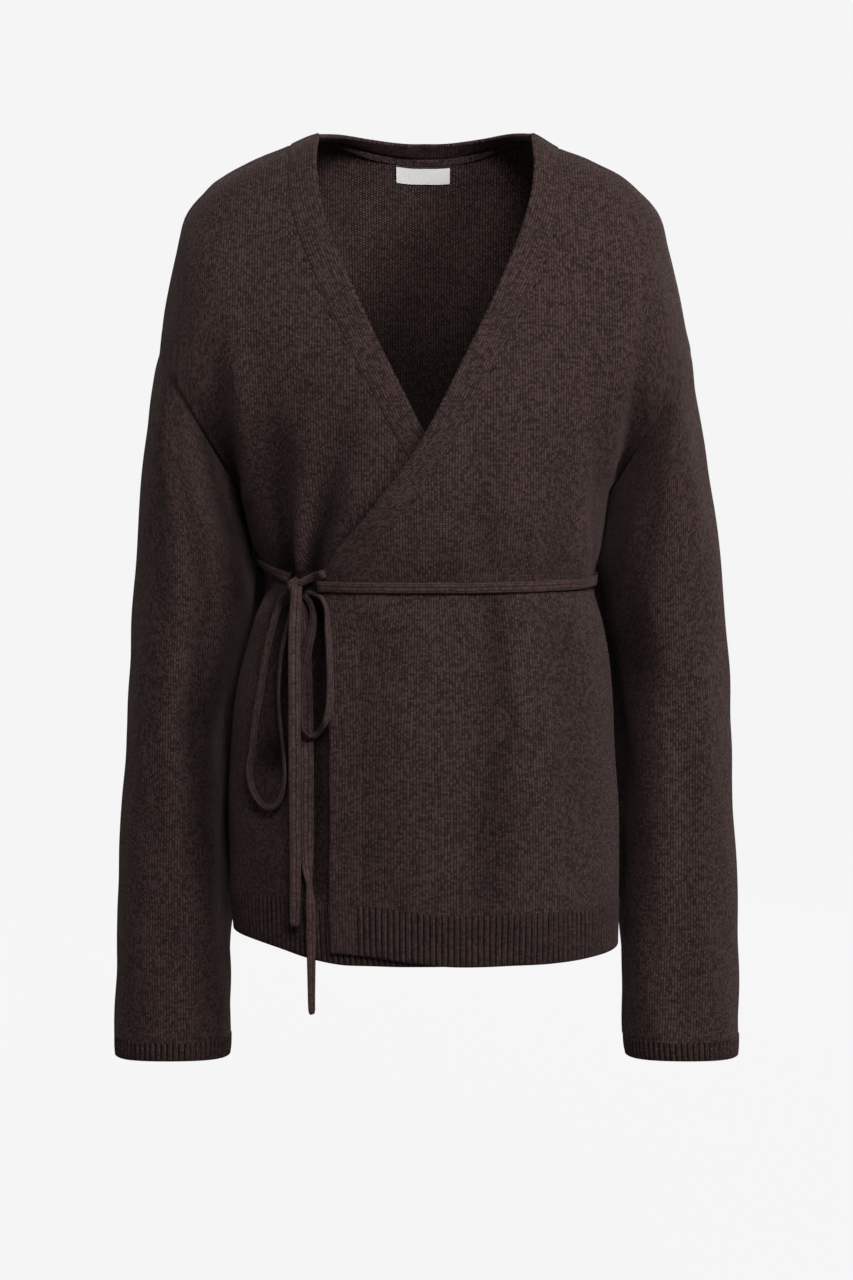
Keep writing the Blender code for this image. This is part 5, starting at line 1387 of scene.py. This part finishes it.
# The ties are drawn 1.25 times lighter than the cloth: painted light, where they stand lit in front of it
TIE_KNIT = knit_finish("tie_stitch", "smooth", 0.7, wale=0.0017, course=0.0016, relief=0.00035, lightness=1.25)
STRAP_SIDES = 14


def grid_tree(grid):
    """The cloth's outer face, for measuring how far forward it stands."""
    index = np.arange(grid.shape[0] * grid.shape[1]).reshape(grid.shape[:2])
    quads = np.stack([index[:-1, :-1], index[:-1, 1:], index[1:, 1:], index[1:, :-1]], axis=-1)
    return BVHTree.FromPolygons(grid.reshape(-1, 3).tolist(), quads.reshape(-1, 4).tolist())


FRONT_TREES = [grid_tree(LEFT_OUTER), grid_tree(RIGHT_OUTER)]


def cloth_front(x, z, reach=0.0045):
    """The depth of the cloth at its most forward, seen from the front, within a reach to both sides."""
    found = []
    for tree in FRONT_TREES:
        for aside in (-reach, 0.0, reach):
            hit = tree.ray_cast((x + aside, -1.0, z), (0.0, 1.0, 0.0))[0]
            if hit is not None:
                found.append(hit[1])
    return min(found) if found else None


def strap(name, node, middle, faces_out, widths, thickness=TIE_THICKNESS):
    """A flat knitted strap with soft edges, along a line of points, each with the way its face looks."""
    along = unit(np.gradient(middle, axis=0))
    faces_out = unit(faces_out - (faces_out * along).sum(-1, keepdims=True) * along)
    across = np.cross(along, faces_out)
    turn = np.arange(STRAP_SIDES) * 2 * math.pi / STRAP_SIDES
    wide = np.sign(np.cos(turn)) * np.abs(np.cos(turn)) ** 0.75
    thick = np.sign(np.sin(turn)) * np.abs(np.sin(turn)) ** 0.60
    half = widths[:, None, None] / 2
    rings = middle[:, None] + across[:, None] * wide[None, :, None] * half
    rings = rings + faces_out[:, None] * thick[None, :, None] * thickness / 2
    length = np.concatenate([[0.0], np.cumsum(np.linalg.norm(np.diff(middle, axis=0), axis=1))])
    count = len(middle)
    caps = [middle[:1] - along[:1] * 0.0004, middle[-1:] + along[-1:] * 0.0004]
    corners = np.concatenate([rings.reshape(-1, 3), *caps])
    faces, maps = [], []
    for k in range(count - 1):
        for j in range(STRAP_SIDES):
            after = (j + 1) % STRAP_SIDES
            faces.append([k * STRAP_SIDES + j, k * STRAP_SIDES + after])
            faces[-1] += [(k + 1) * STRAP_SIDES + after, (k + 1) * STRAP_SIDES + j]
            round_it = (j * TIE_WIDTH / STRAP_SIDES * 1.9, (j + 1) * TIE_WIDTH / STRAP_SIDES * 1.9)
            maps += [(round_it[0], length[k]), (round_it[1], length[k])]
            maps += [(round_it[1], length[k + 1]), (round_it[0], length[k + 1])]
    for j in range(STRAP_SIDES):
        after = (j + 1) % STRAP_SIDES
        last = (count - 1) * STRAP_SIDES
        faces.append([count * STRAP_SIDES, after, j])
        faces.append([count * STRAP_SIDES + 1, last + j, last + after])
        maps += [(0.0, 0.0)] * 6
    mesh = bpy.data.meshes.new(name)
    mesh.from_pydata(corners.tolist(), [], faces)
    mesh.uv_layers.new(name="knit").data.foreach_set("uv", np.array(maps).reshape(-1))
    mesh.materials.append(TIE_KNIT)
    mesh.shade_smooth()
    triangles = np.array([f[:3] for f in faces] + [[f[0], f[2], f[3]] for f in faces if len(f) == 4])
    p = corners[triangles]
    if np.einsum("ij,ij->i", p[:, 0], np.cross(p[:, 1], p[:, 2])).sum() < 0:
        mesh.flip_normals()
    piece = bpy.data.objects.new(name, mesh)
    bpy.context.scene.collection.objects.link(piece)
    if node:
        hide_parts(node)
    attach(piece, "root")
    return piece


def hanging(name, node, table, count):
    """A strap in front of the cloth, on a smooth line through the rows of a table."""
    rows = np.array(table, float)
    steps = np.hypot(np.diff(rows[:, 0]), np.diff(rows[:, 1]))
    along = np.concatenate([[0.0], np.cumsum(steps)])
    at = through(np.column_stack([along, rows]), np.linspace(0.0, along[-1], count))
    at[:, 4] = np.interp(np.linspace(0.0, along[-1], count), along, rows[:, 4])
    edge_on = np.abs(np.sin(np.radians(at[:, 3])))
    half = at[:, 4] * TIE_WIDTH / 2
    depth = []
    for (x, z), aside in zip(at[:, :2], half * np.cos(np.radians(at[:, 3])) + 0.001):
        found = cloth_front(x, z, aside)
        depth.append(found if found is not None else depth[-1])
    depth = np.array(depth)
    for _ in range(6):
        depth[1:-1] = np.minimum(depth[1:-1], (depth[:-2] + depth[1:-1] + depth[2:]) / 3)
    behind = at[:, 2] + edge_on * half + (1 - edge_on) * TIE_THICKNESS / 2
    middle = points(at[:, 0], depth - behind, at[:, 1])
    tangent = unit(np.gradient(middle, axis=0))
    front_way = np.array([0.0, -1.0, 0.0])
    front_way = unit(front_way - (tangent @ front_way)[:, None] * tangent)
    aside = np.cross(front_way, tangent)
    turned = np.radians(at[:, 3])[:, None]
    return strap(name, node, middle, front_way * np.cos(turned) + aside * np.sin(turned), at[:, 4] * TIE_WIDTH)


def at_height(column, z):
    """The place on a panel's column of points at a height."""
    return np.array([np.interp(z, column[:, 2], column[:, k]) for k in range(3)])


def belt_height(reach, face):
    """Where the belt lies: level in front, rising to the wearer's right and falling again to the left."""
    if face < 0:
        return -0.3620 + 0.0190 * float(smooth((-reach - 0.096) / 0.044))
    return -0.3515 - 0.0085 * min(max(reach / 0.135, -1.0), 1.0)


def belt_long():
    """The long strap: from the left front's edge round the body to the knot."""
    stations = []
    path = [(LEFT_OUTER[:, k], -1) for k in range(0, LEFT_OUTER.shape[1] - 1, 2)]
    path += [(BACK_OUTER[:, k], 1) for k in range(BACK_OUTER.shape[1] - 1, -1, -2)]
    turned = len(path)
    path += [(RIGHT_OUTER[:, k], -1) for k in range(2, RIGHT_OUTER.shape[1], 2)]
    half = TIE_WIDTH * 0.9 / 2
    for column, face in path:
        middle = at_height(column, belt_height(at_height(column, -0.36)[0], face))
        stations.append((at_height(column, middle[2] + half), at_height(column, middle[2] - half), middle))
    top, bottom, middle = (np.array(part) for part in zip(*stations))
    last = np.argmax((middle[:, 0] > BELT_END) & (np.arange(len(middle)) > turned))
    top, bottom = top[: last + 1], bottom[: last + 1]
    mid = (top + bottom) / 2
    for _ in range(2):
        mid[1:-1] = (mid[:-2] + 2 * mid[1:-1] + mid[2:]) / 4
    along = unit(np.gradient(mid, axis=0))
    out = unit(np.cross(along, unit(top - bottom)))
    centre = mid + out * (TIE_CLEAR + TIE_THICKNESS / 2)
    start = centre[0] - along[0] * 0.0045
    centre = np.concatenate([[start], centre])
    out = np.concatenate([out[:1], out])
    return strap("belt_round_waist", "belt_long", centre, out, np.full(len(centre), 2 * half))


belt_long()
hanging("end_long", "tie_end_long", END_LONG, 110)
hanging("loop_right", "bow_loop_right", LOOP_RIGHT, 110)
hanging("loop_left", "bow_loop_left", LOOP_LEFT, 120)
hanging("end_short", "tie_end_short", END_SHORT, 90)
hanging("short_tie", "tie_short", TIE_SHORT, 40)

# The knot: the strap wound once and a half round the slanting short tie
KNOT_SLANT = math.radians(32)
knot_depth = min(cloth_front(KNOT.x, KNOT.z + rise, 0.004) for rise in (-0.003, 0.0, 0.003))
knot_depth -= 0.0072
knot_turn = np.radians(np.linspace(-80.0, 320.0, 70))
knot_way = Vector((math.cos(KNOT_SLANT), 0.0, math.sin(KNOT_SLANT)))
knot_side = Vector((-math.sin(KNOT_SLANT), 0.0, math.cos(KNOT_SLANT)))
knot_lean = 0.0008 * (knot_turn - knot_turn.mean())
knot_line = points(KNOT.x - 0.0012, knot_depth, KNOT.z + 0.0018)
knot_line = knot_line + knot_lean[:, None] * np.array(knot_way)
knot_line = knot_line + (0.0044 * np.sin(knot_turn))[:, None] * np.array(knot_side)
knot_line[:, 1] -= 0.0036 * np.cos(knot_turn)
knot_out = np.sin(knot_turn)[:, None] * np.array(knot_side) + points(0.0, -np.cos(knot_turn), 0.0)
knot = strap("knot", "bow_knot", knot_line, knot_out, np.full(70, 0.0084), 0.0026)
